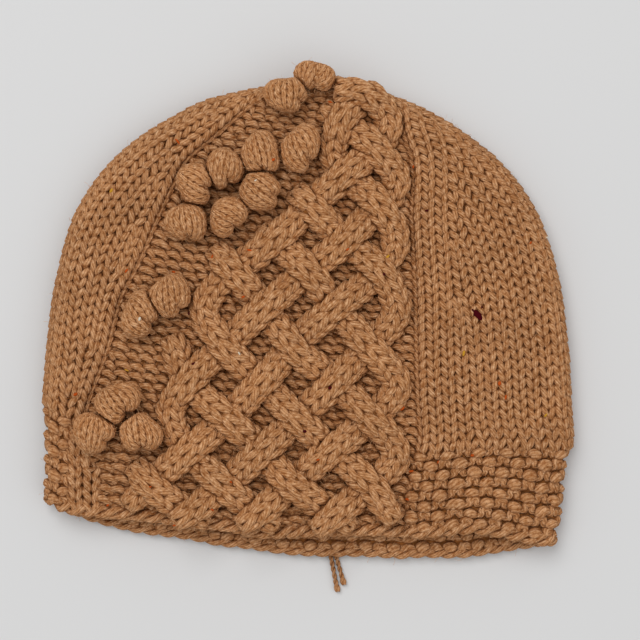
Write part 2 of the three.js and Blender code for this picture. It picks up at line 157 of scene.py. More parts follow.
# Each cable from the crown to the hem: its start, the crossings as (course, place) or a turn as
# ("turn", x, y), and its end. A start may be raised onto another cable.
CABLES = [
    dict(
        start=(13.2, 94.0), level=1, half=0,
        route=[(0, 0), ("turn", 34.5, 81.3), (2, 0), (3, 0), (4, 0), (5, 0), (6, 0),
               ("turn", -44.2, 1.5), (8, 0), (9, 1), (10, 1), (11, 2), (12, 3)],
        end=(36.5, -88.5),
    ),
    dict(
        start=(24.9, 92.5), level=0, half=6.6,
        route=[(1, 0), ("turn", 11.2, 66.6), (3, 0), (4, 1), ("turn", 37.5, 30.5), (6, 2), (7, 1),
               (8, 1), (9, 1), (10, 0), (11, 0), (12, 0)],
        end=(-76.5, -82.5),
    ),
    dict(
        start=(7.4, 86.5), level=0, half=0,
        route=[(1, 0), (2, 0), ("turn", 38.0, 55.5), (4, 1), (5, 1), (6, 1), (7, 0), (8, 0),
               (9, 0), ("turn", -58.6, -43.0), (11, 0), (12, 1), (13, 1)],
        end=(-14.0, -91.5),
    ),
    dict(
        start=(-4.6, 50.7), level=0, half=0,
        route=[(4, 0), (5, 1), (6, 2), ("turn", 38.0, -0.4), (8, 2), (9, 2), (10, 1), (11, 1),
               (12, 1), (13, 0)],
        end=(-55.5, -89.0),
    ),
    dict(
        start=(-19.0, 34.6), level=0, half=0,
        route=[(5, 0), (6, 1), (7, 1), (8, 2), ("turn", 38.3, -31.8), (10, 2), (11, 2), (12, 2),
               (13, 1)],
        end=(-27.5, -91.0),
    ),
    dict(
        start=(-39.5, 26.2), level=0, half=0,
        route=[(6, 0), (7, 0), (8, 1), (9, 2), (10, 2), ("turn", 38.0, -61.5), (12, 3), (13, 2)],
        end=(4.0, -92.3),
    ),
    dict(
        start=(-58.0, -12.0), level=0, half=0,
        route=[(9, 0), (10, 0), (11, 1), (12, 2), (13, 2)],
        end=(18.0, -92.3),
    ),
    dict(
        start=(-73.5, -66.5), level=0, half=0,
        route=[(12, 0), (13, 0)],
        end=(-44.0, -90.0),
    ),
]
CROSSING_HALF = 6.0
TURN_HALF = 4.5
HOLD_SHARE = 0.55
CABLE_SPAN = 24
CABLE_THICK = 3.4
CABLE_GAP = 0.4

# The stitches of a cable, in millimetres or as shares
CABLE_SAMPLES = 14
CABLE_YARN_DEPTH = 2.2
CABLE_SIDE = 5.0
OVER_REACH = 6.0
UNEVEN_CABLE = (0.32, 0.26, 0.16)
PAST_END = 0.15
ROUND_OFF = 2.9
ROUND_POWER = 2.3
SIDE_DROP = 1.5
SIDE_PINCH = 0.10
END_PINCH = 0.3
END_REACH = 5.0
CABLE_SWELL = 1.02
CABLE_SWELL_SWING = 0.17
FILLING_SIDES = 10
FILLING_HALF_WIDTH = 4.7
FILLING_HALF_HEIGHT = 1.9
FILLING_LIFT = 0.3
FILLING_END = 2.5

# Bobbles: x, y, half width across, half height up the hat, and the turn of their stitches in degrees
BOBBLES = [
    (-81.2, -39.1, 9.5, 8.6, 35),
    (-91.1, -52.0, 8.2, 9.5, -10),
    (-71.3, -52.0, 9.0, 8.6, 10),
    (-71.3, -1.7, 8.2, 9.5, 40),
    (-58.8, 6.0, 8.6, 9.9, 5),
    (-51.5, 37.4, 8.2, 9.0, 10),
    (-47.6, 54.2, 8.6, 8.6, 55),
    (-33.9, 40.4, 8.4, 8.0, 60),
    (-35.6, 60.6, 7.3, 9.5, -15),
    (-20.1, 51.2, 9.0, 9.0, 50),
    (-20.1, 66.7, 8.6, 9.5, 15),
    (-2.9, 69.2, 8.2, 10.3, 30),
    (-8.5, 91.6, 9.0, 8.4, 0),
    (3.5, 97.0, 8.6, 7.3, -25),
]
BOBBLE_HALF_HEIGHT = 6.2
BOBBLE_LIFT = 4.6
BOBBLE_SEAT = 0.4
BOBBLE_GAP = 0.35
BOBBLE_FLAT = 0.5
BOBBLE_PLUMP = 0.35
BOBBLE_FILLING_DEPTH = 2.6
SEAT_SHARE = 0.7
GATHER_WIDTH = 0.3
GATHER_DEPTH = 3.0
GATHER_RIM = (0.2, 0.85)

# Lumps round a bobble's rim: how many, how high, and how far the next bobble's are turned
LUMPS = [(2, 0.7, 1.7), (3, 0.55, 1.0)]

# A dimple in the top of every third bobble: its place, its spread and its depth
DIMPLE_X, DIMPLE_Y = 0.3, -0.05
DIMPLE_SPREAD = 0.09
DIMPLE_DEPTH = 0.7

# The stitches of a bobble: the angle they cover, their shape and their swell
BOBBLE_SAMPLES = 10
BOBBLE_SPAN = math.radians(230)
BOBBLE_RISE = math.radians(172)
BOBBLE_LEAN = 0.19
BOBBLE_REACH = 0.84
BOBBLE_UNEVEN = 0.01
BOBBLE_POLE = 0.03
BOBBLE_YARN_DEPTH = 0.1
BOBBLE_RELIEF = 0.55
POLE_SWELL = 0.42

# The two strands that hang out of the hem
YARN_ENDS = {
    "yarn_end_left": [(9.6, -104.6, 2.6), (10.4, -109.0, 1.4), (12.0, -117.4, 1.2), (13.0, -122.0, 1.4)],
    "yarn_end_right": [(11.8, -104.6, 2.6), (12.9, -109.0, 1.4), (14.9, -116.1, 1.2), (15.7, -119.0, 1.4)],
}

ROWS = 53
BRIM_ROWS = 8
UPPER_ROW = 23
CROWN_ROW = 38
BRIM_ROW = 1.11
HEM_MARGIN = 0.4
HEIGHT_IN_ROWS = ROWS + BRIM_ROWS * (BRIM_ROW - 1) + HEM_MARGIN


def length(name, description, default, low, high):
    """A length that a user can change, given in millimetres."""
    return bpy.props.FloatProperty(
        name=name, description=description, default=default * MM, min=low * MM, max=high * MM,
        subtype="DISTANCE", unit="LENGTH")


def colour(name, description, default):
    return bpy.props.FloatVectorProperty(
        name=name, description=description, default=default, size=3, min=0, max=1, subtype="COLOR")


class HatKnit(bpy.types.PropertyGroup):
    yarn: length("Yarn", "Thickness of the yarn", 3.25, 1, 8)
    stitch: length("Stitch", "Width of one stitch", 6.0, 3, 15)
    relief: length("Relief", "How far the yarn swings in and out of the fabric", 1.35, 0, 4)
    reach: bpy.props.FloatProperty(
        name="Reach", description="How far a loop reaches up and down, in rows",
        default=0.86, min=0.5, max=1.1)
    lean: bpy.props.FloatProperty(
        name="Lean", description="How far the legs of a stitch lean, as a share of its width",
        default=0.265, min=0.1, max=0.35)
    unevenness: bpy.props.FloatProperty(
        name="Unevenness", description="How much the hand-knitted stitches differ",
        default=1.0, min=0.0, max=3.0)


class HatCables(bpy.types.PropertyGroup):
    width: length("Width", "Width of a cable", 12.4, 6, 25)
    row: length("Row", "Length of one row along a cable", 4.9, 3, 12)
    stretch: length("Stretch", "Extra length of a row where a cable crosses over", 3.4, 0, 8)


class HatFlecks(bpy.types.PropertyGroup):
    size: bpy.props.FloatProperty(
        name="Size", description="Size of the coloured flecks, as a share of the real ones",
        default=1.0, min=0.2, max=3.0)
    fibres: bpy.props.IntProperty(
        name="Loose fibres", description="Number of loose fibres that stand out of the wool",
        default=9000, min=0, max=20000)
    fibre_length: length("Fibre length", "Length of a loose fibre", 3.3, 1, 20)


class HatBobbles(bpy.types.PropertyGroup):
    wales: bpy.props.IntProperty(
        name="Wales", description="Columns of stitches over a bobble", default=6, min=2, max=8)
    rows: bpy.props.IntProperty(
        name="Rows", description="Rows of stitches over a bobble", default=8, min=3, max=9)
    yarn: length("Yarn", "Thickness of the yarn on a bobble", 3.1, 1, 8)


class HatWool(bpy.types.PropertyGroup):
    wool: colour("Wool", "Colour of the wool", (0.52, 0.250, 0.105))
    pale: colour("Pale fibres", "Colour of the paler fibres", (0.76, 0.45, 0.245))
    # The deep colour is that of the darker fibres and also that of the painted shade in the yarn's grooves,
    # hollows and pits
    deep: colour("Deep fibres and painted shade", "Colour of the darker fibres", (0.195, 0.054, 0.008))
    # The backing colour is painted shade: the dark that shows through the gaps between the stitches
    backing: colour("Backing", "Colour in the depth between the stitches", (0.21, 0.076, 0.019))


class HatStage(bpy.types.PropertyGroup):
    floor: colour("Floor", "Colour of the floor", (0.705, 0.705, 0.705))
    view_width: length("View width", "Width of the camera's view at the hat", 275.2, 100, 1000)


def smooth(low, high, value):
    share = np.clip((value - low) / (high - low), 0, 1)
    return share * share * (3 - 2 * share)


def lengths_along(line):
    """The length from a line's start to each of its points."""
    return np.concatenate([[0], np.cumsum(np.linalg.norm(np.diff(line, axis=0), axis=1))])


def directions_along(line):
    """The unit direction of a line at each of its points."""
    directions = np.gradient(line, axis=0)
    return directions / np.linalg.norm(directions, axis=1)[:, None]


def look_up(table, column, value):
    """A column of a table at values of its first column, on a smooth curve through the rows."""
    keys, heights = table[:, 0], table[:, column]
    value = np.asarray(value, float)
    slopes = np.empty(len(keys))
    slopes[1:-1] = (heights[2:] - heights[:-2]) / (keys[2:] - keys[:-2])
    slopes[0] = (heights[1] - heights[0]) / (keys[1] - keys[0])
    slopes[-1] = (heights[-1] - heights[-2]) / (keys[-1] - keys[-2])
    i = np.clip(np.searchsorted(keys, value) - 1, 0, len(keys) - 2)
    width = keys[i + 1] - keys[i]
    t = np.clip((value - keys[i]) / width, 0, 1)
    rise = heights[i + 1] - heights[i]
    start, end = slopes[i] * width, slopes[i + 1] * width
    return heights[i] + t * start + t**2 * (3 * rise - 2 * start - end) + t**3 * (start + end - 2 * rise)


def folded_edge():
    """The folded edge from above: up the left side, over the crown and down the right side."""
    y = SECTIONS[0, 0] + (CROWN - SECTIONS[0, 0]) * np.sin(np.linspace(0, math.pi / 2, 81))
    left = np.column_stack([look_up(SECTIONS, LEFT, y), y])
    right = np.column_stack([look_up(SECTIONS, RIGHT, y), y])
    return np.vstack([left, right[::-1]])


EDGE = folded_edge()
EDGE_STEP = np.diff(EDGE, axis=0)
EDGE_LENGTH = np.hypot(EDGE_STEP[:, 0], EDGE_STEP[:, 1])


def edge_at(x, y):
    """Distance to the folded edge and the direction to it, for arrays of points."""
    x, y = np.ravel(x), np.ravel(y)
    distance, out_x, out_y = np.empty(len(x)), np.empty(len(x)), np.empty(len(x))
    for low in range(0, len(x), 20000):
        part = slice(low, low + 20000)
        dx = x[part, None] - EDGE[None, :-1, 0]
        dy = y[part, None] - EDGE[None, :-1, 1]
        t = np.clip((dx * EDGE_STEP[:, 0] + dy * EDGE_STEP[:, 1]) / EDGE_LENGTH**2, 0, 1)
        away = np.hypot(dx - t * EDGE_STEP[:, 0], dy - t * EDGE_STEP[:, 1])
        nearest = np.argmin(away, axis=1)
        distance[part] = away[np.arange(len(nearest)), nearest]
        out_x[part] = (-EDGE_STEP[:, 1] / EDGE_LENGTH)[nearest]
        out_y[part] = (EDGE_STEP[:, 0] / EDGE_LENGTH)[nearest]
    return distance, out_x, out_y


def relief(x, y, distance):
    """What the front has on top of its fold: the dome, less the two creases."""
    dents = 0
    for column, at_hem in ((LEFT_CREASE, 0.2), (RIGHT_CREASE, 0.8)):
        here = np.exp(-(((x - look_up(SECTIONS, column, y)) / CREASE_WIDTH) ** 2))
        dents = dents + here * (at_hem + (1 - at_hem) * smooth(-62, -40, y))
    return DOME * smooth(0, DOME_REACH, distance) - CREASE_DEPTH * smooth(0, CREASE_FADE, distance) * dents


def bag_point(x, y, front):
    """The bag's outer face over points of the plan, and its outward normal there."""
    distance, out_x, out_y = edge_at(x, y)
    inward = np.clip(1 - distance / FOLD_RADIUS, 0, 1)
    upward = np.sqrt(1 - inward**2)
    side = np.where(front, 1.0, -1.0)
    z = FOLD_RADIUS + side * FOLD_RADIUS * upward + np.where(front, relief(x, y, distance), 0)
    return np.column_stack([x, y, z]), np.column_stack([out_x * inward, out_y * inward, side * upward])


def front_height(x, y):
    return bag_point(np.ravel(x), np.ravel(y), np.ones(np.size(x), bool))[0][:, 2]


class Guide:
    """A line up the hat in plan, read by its share of length from the hem to the crown."""

    def __init__(self, table, column, hem):
        y = hem + (CROWN - hem) * np.sin(np.linspace(0, math.pi / 2, 400))
        x = look_up(table, column, y)
        self.points = np.column_stack([x, y])
        along = lengths_along(self.points)
        self.length = along[-1]
        self.shares = along / self.length

    def at(self, share):
        held = np.clip(share, 0, 1)
        x = np.interp(held, self.shares, self.points[:, 0])
        y = np.interp(held, self.shares, self.points[:, 1])
        return np.column_stack([x, y - self.length * np.maximum(0, -share)])


def hem_at(x, layer):
    return float(look_up(HEM, layer, x))


GUIDES = {
    "left": Guide(SECTIONS, LEFT, -83.3),
    "left_crease": Guide(SECTIONS, LEFT_CREASE, hem_at(-97.5, FRONT)),
    "right_crease": Guide(SECTIONS, RIGHT_CREASE, hem_at(41.5, FRONT)),
    "right": Guide(SECTIONS, RIGHT, -101.0),
    "back_right": Guide(BACK_LINES, 2, hem_at(40.0, BACK)),
    "back_left": Guide(BACK_LINES, 1, hem_at(-38.0, BACK)),
}

# The panels that a round of knitting passes, from the left fold over the front and back below
PANELS = [
    ("left", "left_crease", FRONT),
    ("left_crease", "right_crease", FRONT),
    ("right_crease", "right", FRONT),
    ("right", "back_right", BACK),
    ("back_right", "back_left", BACK),
    ("back_left", "left", BACK),
]
HEM_FADE = 0.33


def panel_point(panel, share, row_share):
    """Plan points at a share of a panel's width and a share of the hat's height."""
    first, second, layer = PANELS[panel]
    a, b = GUIDES[first].at(row_share), GUIDES[second].at(row_share)
    zero = np.zeros_like(row_share)
    a0, b0 = GUIDES[first].at(zero), GUIDES[second].at(zero)
    share = share[:, None]
    plan = a + (b - a) * share
    start = a0 + (b0 - a0) * share
    bulge = look_up(HEM, layer, start[:, 0]) - start[:, 1]
    fade = 1 - smooth(0, HEM_FADE, np.maximum(row_share, 0))
    plan[:, 1] += bulge * fade * 4 * smooth(0, 1, share[:, 0] * 2) * smooth(0, 1, 2 - share[:, 0] * 2) / 4
    return plan


def round_point(place, row_share):
    """The bag's outer face and normal at a place round the hat, counted in panels, and a height."""
    place = np.clip(place, 0, len(PANELS) - 1e-9)
    row_share = np.broadcast_to(row_share, place.shape).astype(float)
    plan = np.empty((len(place), 2))
    for panel in range(len(PANELS)):
        here = (place >= panel) & (place < panel + 1)
        if here.any():
            plan[here] = panel_point(panel, place[here] - panel, row_share[here])
    front = place < 3
    return bag_point(plan[:, 0], plan[:, 1], front)


def fine_places():
    """Places round the hat, closer together next to the folds."""
    q = np.linspace(0, 1, 121)[:-1]
    outwards, inwards = 1 - (1 - q) ** 2, q**2
    shares = [inwards, q, outwards, inwards, q, outwards]
    return np.concatenate([panel + share for panel, share in enumerate(shares)] + [[len(PANELS)]])


FINE = fine_places()
BACK_WALES = 13
GROUND_SINK = 1.3
FLOOR_LIFT = 1.3
BRIM_LIFT = 0.8


def row_height(row):
    """A height counted in rows, as a share of the hat's height. The rows of the brim are taller."""
    return (row + (BRIM_ROW - 1) * np.minimum(row, BRIM_ROWS) + HEM_MARGIN) / HEIGHT_IN_ROWS


BRIM_TOP = float(row_height(BRIM_ROWS))

# Where, as shares of the height, the ground comes up at the crown, the brim lies higher and the
# backing of the brim gives way to that of the sides
CROWN_BLEND = (0.93, 1.0)
BRIM_BLEND = (BRIM_TOP + 0.03, BRIM_TOP - 0.01)
BACKING_BLEND = (BRIM_TOP - 0.02, BRIM_TOP + 0.01)


def fabric_depth(place, row_share, outer, depth):
    """How deep a layer of the fabric lies: lower in the ground of the lattice, higher on the floor."""
    middle = smooth(1.0, 1.06, place) * smooth(2.0, 1.96, place)
    open_end = 1 - smooth(*CROWN_BLEND, row_share)
    lift = FLOOR_LIFT + BRIM_LIFT * smooth(*BRIM_BLEND, row_share)
    return depth + GROUND_SINK * middle * open_end + lift * (1 - smooth(0, FOLD_RADIUS, outer[:, 2]))


# Shares of a whole stitch: one that comes out narrower joins its neighbour, and where the stitches
# of the back come out narrower they are knitted together in pairs
NARROWEST = 0.45
NARROWEST_ON_BACK = 0.62


def row_boundaries(lengths, stitch):
    """Where the stitches of a round begin and end, and the panel of each, from the panels' ends."""
    cuts, owners = [lengths[0]], []

    def fill(panel, inner):
        edges = [lengths[panel], *inner, lengths[panel + 1]]
        for edge in edges[1:]:
            if edge - cuts[-1] < NARROWEST * stitch and owners:
                cuts[-1] = edge if edge == edges[-1] else cuts[-1]
                continue
            cuts.append(edge)
            owners.append(panel)

    for panel in range(len(PANELS)):
        low, high = lengths[panel], lengths[panel + 1]
        width = high - low
        if panel == 0:
            count = int(round((width - stitch) / stitch))
            inner = [low + stitch * k for k in range(1, count)] + [high - stitch]
        elif panel == 1:
            count = int(round(width / stitch))
            inner = [high - stitch * k for k in range(count - 1, 0, -1)]
        elif panel == 2:
            count = int(round((width - 3 * stitch) / stitch))
            inner = [low + stitch * k for k in (1, 2, 3)]
            inner += [high - stitch * k for k in range(count - 1, 0, -1)]
        elif panel == 3:
            inner = [low + stitch * k for k in range(1, int(round(width / stitch)))]
        elif panel == 4:
            count = BACK_WALES
            while count > 1 and width / count < NARROWEST_ON_BACK * stitch:
                count = (count + 1) // 2
            inner = [low + width * k / count for k in range(1, count)]
        else:
            inner = [high - stitch * k for k in range(int(round(width / stitch)) - 1, 0, -1)]
        fill(panel, [edge for edge in inner if low < edge < high])
    return np.array(cuts), owners


def stitch_kinds(row, owners, cuts, panel_ends, stitch):
    """1 for a knit and -1 for a purl stitch, for each stitch of a round, and which are moss stitch."""
    kinds, moss = [], []
    folds = [panel_ends[0], panel_ends[0], panel_ends[3], panel_ends[3], panel_ends[3], panel_ends[6]]
    for k, panel in enumerate(owners):
        place = int(math.floor(((cuts[k] + cuts[k + 1]) / 2 - folds[panel]) / stitch))
        last_in_panel = k + 1 == len(owners) or owners[k + 1] != panel
        first_in_panel = k == 0 or owners[k - 1] != panel
        moss.append(row < BRIM_ROWS and panel != 1 and not (panel == 0 and last_in_panel))
        if moss[-1]:
            kinds.append(1 if (place + row) % 2 == 0 else -1)
        elif panel == 1:
            kinds.append(1 if first_in_panel and row < BRIM_ROWS else -1)
        else:
            kinds.append(1)
    return np.array(kinds, float), np.array(moss)


def swing(kinds, t):
    """Which way the yarn swings at each sample: a stitch's own side, blended between neighbours."""
    before = np.concatenate([kinds[-1:], kinds[:-1]])
    after = np.concatenate([kinds[1:], kinds[:1]])
    own = np.broadcast_to(kinds[:, None], (len(kinds), len(t)))
    start = (before + kinds)[:, None] / 2
    end = (after + kinds)[:, None] / 2
    from_start = smooth(0, math.pi / 2, t)[None, :]
    to_end = smooth(0, math.pi / 2, TURN - t)[None, :]
    return np.where(t < math.pi, start + (own - start) * from_start, end + (own - end) * to_end)


# How the yarn runs through a stitch: sideways as a share of the stitch, up and down in rows and
# in and out in millimetres
STITCH_SAMPLES = 10
YARN_DEPTH = 2.0
FOOT_OVER = 0.55
SWELL = 0.96
SWELL_SWING = 0.16
UNEVEN_SHIFT = 0.16
UNEVEN_LIFT = 0.035
UNEVEN_DEPTH = 0.12
NEAR_FOLD = 7.0

# The purl stitches of the ground, which show as slanting ovals and drift from row to row
PURL_TILT = 0.26
PURL_LEAN = 0.14
PURL_DRIFT = 0.55
PURL_DRIFT_STEP = 0.382
PURL_DRIFT_FADE = 9
PURL_SINK = 0.2
PURL_HEAD = 1.0
PURL_LEGS = 0.775
PURL_SWELL = 0.05

# Moss stitch: plump ovals with low legs between them
MOSS_FOOT = -0.24
MOSS_LOW = -0.5
MOSS_HIGH = 0.55
MOSS_ROUND = 1.2
MOSS_SQUEEZE = 0.06
MOSS_SWELL = 1.72
MOSS_END_SWELL = 0.75
MOSS_SIZE_SPREAD = 0.07
MOSS_TILT = 0.04
MOSS_TILT_SPREAD = 0.10
MOSS_SMALLER_AT_FOLD = 0.22
MOSS_LOWER_AT_FOLD = 0.5
MOSS_LEG_LEAN = 0.13
MOSS_LEG_HEIGHT = 0.1
MOSS_LEG_SWING = 0.2
MOSS_LEG_SWELL = 0.25


def knit_round(row, knit, rng):
    """The yarn of one round of the hat: its path, and how thick it is along the path."""
    middle = row_height(row + 0.5)
    surface, _ = round_point(FINE, middle)
    along = lengths_along(surface)
    panel_ends = [along[np.searchsorted(FINE, panel)] for panel in range(len(PANELS))] + [along[-1]]
    cuts, owners = row_boundaries(panel_ends, knit.stitch / MM)
    kinds, moss = stitch_kinds(row, owners, cuts, panel_ends, knit.stitch / MM)
    t = np.arange(STITCH_SAMPLES) / STITCH_SAMPLES * TURN
    width = np.diff(cuts)[:, None]
    folds = np.array([panel_ends[0], panel_ends[3], panel_ends[6]])
    from_fold = np.abs((cuts[:-1] + cuts[1:])[:, None] / 2 - folds).min(axis=1, keepdims=True)
    at_fold = np.exp(-((from_fold / NEAR_FOLD) ** 2))
    uneven = knit.unevenness
    shift, lift, deep = (rng.normal(0, spread * uneven, (len(kinds), 1))
                         for spread in (UNEVEN_SHIFT, UNEVEN_LIFT, UNEVEN_DEPTH))
    even = cuts[:-1, None] + width * t / TURN
    side = swing(kinds, t)
    knitted, purl = np.clip(side, 0, 1), np.clip(-side, 0, 1)
    loop = np.sin(t / 2) ** 2
    s = even + (knit.lean + PURL_LEAN * purl) * width * np.sin(2 * t) + shift * loop
    rise = -knit.reach * np.cos(t) + lift * loop - PURL_TILT * np.sin(2 * t) * purl
    drift = PURL_DRIFT * (row * PURL_DRIFT_STEP % 1 - 0.5) * ((kinds < 0) & ~moss)[:, None]
    from_crease = np.minimum(even - panel_ends[1], panel_ends[2] - even)
    s = s + drift * width * smooth(0, PURL_DRIFT_FADE, from_crease)
    depth = (FOOT_OVER * np.cos(t) - knit.relief / MM * np.cos(2 * t)) * knitted + deep * loop
    depth = depth + purl * (PURL_LEGS * np.cos(2 * t) - PURL_HEAD * np.cos(t) - PURL_SINK)
    swells = SWELL - SWELL_SWING * np.cos(2 * t) * side + PURL_SWELL * purl
    if moss.any():
        on_back = np.array([panel >= 3 for panel in owners])
        inside = np.sin(t / 2) ** MOSS_ROUND
        plump = (moss & ((kinds < 0) | on_back))[:, None]
        legs = (moss & (kinds > 0) & ~on_back)[:, None]
        size = rng.normal(1, MOSS_SIZE_SPREAD * uneven, (len(kinds), 1)) - MOSS_SMALLER_AT_FOLD * at_fold
        tilt = rng.normal(MOSS_TILT, MOSS_TILT_SPREAD * uneven, (len(kinds), 1))
        s = np.where(plump, even + 0.5 * shift - MOSS_SQUEEZE * width * np.sin(t), s)
        s = np.where(legs, even + MOSS_LEG_LEAN * width * np.sin(2 * t), s)
        rise = np.where(plump, MOSS_FOOT * (1 - inside) + tilt * np.cos(t / 2) * inside, rise)
        rise = np.where(legs, MOSS_LEG_HEIGHT + (MOSS_FOOT - MOSS_LEG_HEIGHT) * np.cos(t), rise)
        high = MOSS_HIGH - MOSS_LOW + deep - MOSS_LOWER_AT_FOLD * at_fold
        depth = np.where(plump, -kinds[:, None] * (MOSS_LOW + high * inside), depth)
        depth = np.where(legs, 0.5 * MOSS_LOW - MOSS_LEG_SWING * np.cos(2 * t) * inside, depth)
        swells = np.where(plump, MOSS_END_SWELL + (MOSS_SWELL * size - MOSS_END_SWELL) * inside, swells)
        swells = np.where(legs, 1.0 + MOSS_LEG_SWELL * inside, swells)
    s, rise, depth, swells = (np.ravel(values + 0 * even) for values in (s, rise, depth, swells))
    if moss.any():
        rise, depth = (np.convolve(np.pad(values, 1, mode="wrap"), [0.25, 0.5, 0.25], mode="valid")
                       for values in (rise, depth))
    s = np.append(s, cuts[-1])
    rise, depth = np.append(rise, rise[0]), np.append(depth, depth[0])
    place = np.interp(s, along, FINE)
    outer, normal = round_point(place, row_height(row + 0.5 + rise))
    points = outer + normal * (depth - fabric_depth(place, middle, outer, YARN_DEPTH))[:, None]
    return points, np.append(swells, swells[0])


def cable_path(cable):
    """A cable's middle line in plan, its lengths, and the length and level of each stop on it."""
    route = cable["route"]
    places = []
    for kind, *where in route:
        if kind != "turn":
            y, crossings = CROSSINGS[kind]
            where = crossings[where[0]], y
        places.append(where)
    nodes = np.array([cable["start"], *places, cable["end"]])
    stops = [(cable["level"], cable["half"])]
    for i, (kind, *_) in enumerate(route):
        turning = kind == "turn"
        falls_right = nodes[i + 1, 0] > nodes[i, 0]
        on_top = not turning and falls_right == (kind % 2 == 0)
        stops.append((1 if on_top else 0, TURN_HALF if turning else CROSSING_HALF))
    stops.append((stops[-1][0], 0))
    line = centripetal(nodes, CABLE_SPAN)
    along = lengths_along(line)
    marks = along[::CABLE_SPAN]
    return line, along, [(marks[i], level, half) for i, (level, half) in enumerate(stops)]


def centripetal(nodes, per_span):
    """A centripetal curve through points, with the same number of samples in each span."""
    first = 2 * nodes[0] - nodes[1]
    last = 2 * nodes[-1] - nodes[-2]
    p = np.vstack([first, nodes, last])
    out = []
    for i in range(1, len(p) - 2):
        a, b, c, d = p[i - 1], p[i], p[i + 1], p[i + 2]
        k1 = math.sqrt(np.linalg.norm(b - a))
        k2 = math.sqrt(np.linalg.norm(c - b))
        k3 = math.sqrt(np.linalg.norm(d - c))
        m1 = (b - a) / k1 - (c - a) / (k1 + k2) + (c - b) / k2
        m2 = (c - b) / k2 - (d - b) / (k2 + k3) + (d - c) / k3
        m1, m2 = m1 * k2, m2 * k2
        for j in range(per_span):
            t = j / per_span
            out.append((2 * t**3 - 3 * t**2 + 1) * b + (t**3 - 2 * t**2 + t) * m1
                       + (3 * t**2 - 2 * t**3) * c + (t**3 - t**2) * m2)
    out.append(nodes[-1])
    return np.array(out)


def cable_level(s, stops):
    """How far a cable is lifted onto another one at lengths along it, from 0 to 1."""
    keys, levels = [], []
    for mark, level, half in stops:
        hold = HOLD_SHARE * half
        keys += [mark - hold, mark + hold + 1e-3]
        levels += [level, level]
    i = np.clip(np.searchsorted(keys, s) - 1, 0, len(keys) - 2)
    keys, levels = np.array(keys), np.array(levels, float)
    return levels[i] + (levels[i + 1] - levels[i]) * smooth(keys[i], keys[i + 1], s)


def cable_courses(cable, cables, knit, rng):
    """The short rows of yarn, two stitches wide, that make up one cable."""
    line, along, stops = cable_path(cable)
    total = along[-1]
    grid = np.linspace(0, total, int(total * 2))
    over = np.zeros(len(grid))
    for mark, level, half in stops[1:-1]:
        if level == 1:
            over = np.maximum(over, np.exp(-(((grid - mark) / OVER_REACH) ** 2)))
    pitch = cables.row / MM + cables.stretch / MM * over
    count = np.concatenate([[0], np.cumsum((grid[1] - grid[0]) / pitch[:-1])])
    rows = int(round(count[-1]))
    count *= rows / count[-1]
    middles = np.interp(np.arange(rows) + 0.5, count, grid)
    pitches = np.interp(middles, grid, pitch)
    tangents = directions_along(line)
    ground_line = front_height(line[:, 0], line[:, 1])
    for sign in (-1, 1):
        side = line + sign * CABLE_SIDE * np.column_stack([-tangents[:, 1], tangents[:, 0]])
        ground_line = np.maximum(ground_line, front_height(side[:, 0], side[:, 1]))
    ground_line = np.convolve(np.pad(ground_line, 6, mode="edge"), np.ones(13) / 13, mode="valid")
    t = np.linspace(0, 2 * TURN, 2 * CABLE_SAMPLES + 1)
    width = cables.width / MM / 2
    courses = []
    for middle, step in zip(middles, pitches):
        uneven = rng.normal(0, 1, 3) * knit.unevenness * UNEVEN_CABLE
        across = -width + width * t / TURN + knit.lean * width * np.sin(2 * t) + uneven[0]
        s = middle + (knit.reach * step) * np.cos(t) + uneven[1]
        s = np.clip(s, -PAST_END * step, total + PAST_END * step)
        x, y, tx, ty, base = (
            np.interp(s, along, values)
            for values in (line[:, 0], line[:, 1], tangents[:, 0], tangents[:, 1], ground_line))
        past = np.where(s < 0, s, np.where(s > total, s - total, 0))
        base = base + CABLE_GAP + cable_level(s, stops) * (CABLE_THICK + CABLE_GAP)
        round_off = ROUND_OFF * np.abs(across / width) ** ROUND_POWER
        sides = SIDE_DROP * (smooth(0, 1, 1 - t) + smooth(0, 1, t - 2 * TURN + 1))
        swing_out = -knit.relief / MM * np.cos(2 * t) + FOOT_OVER * np.cos(t)
        z = base + CABLE_THICK - CABLE_YARN_DEPTH + uneven[2] - round_off - sides + swing_out
        from_end = min(middle, total - middle)
        pinch = 1 - SIDE_PINCH * np.abs(across / width)
        pinch = pinch * (1 - END_PINCH * math.exp(-((from_end / END_REACH) ** 2)))
        x, y = x + tx * past - ty * across * pinch, y + ty * past + tx * across * pinch
        courses.append((np.column_stack([x, y, z]), CABLE_SWELL - CABLE_SWELL_SWING * np.cos(2 * t)))
    return courses


def cable_filling(cable):
    """The padding under a cable's stitches: a flat rope, as rings of points from end to end."""
    line, along, stops = cable_path(cable)
    tangents = directions_along(line)
    ground_line = front_height(line[:, 0], line[:, 1])
    base = ground_line + CABLE_GAP + cable_level(along, stops) * (CABLE_THICK + CABLE_GAP)
    from_end = np.minimum(along, along[-1] - along)
    full = np.sqrt(np.clip(from_end / FILLING_END, 0.01, 1))
    angle = np.arange(FILLING_SIDES) / FILLING_SIDES * TURN
    across = FILLING_HALF_WIDTH * full[:, None] * np.cos(angle)
    z = base[:, None] + FILLING_LIFT + FILLING_HALF_HEIGHT * full[:, None] * np.sin(angle)
    x = line[:, 0:1] - tangents[:, 1:2] * across
    y = line[:, 1:2] + tangents[:, 0:1] * across
    rings = np.stack([x, y, z], 2)
    return rings[::3]


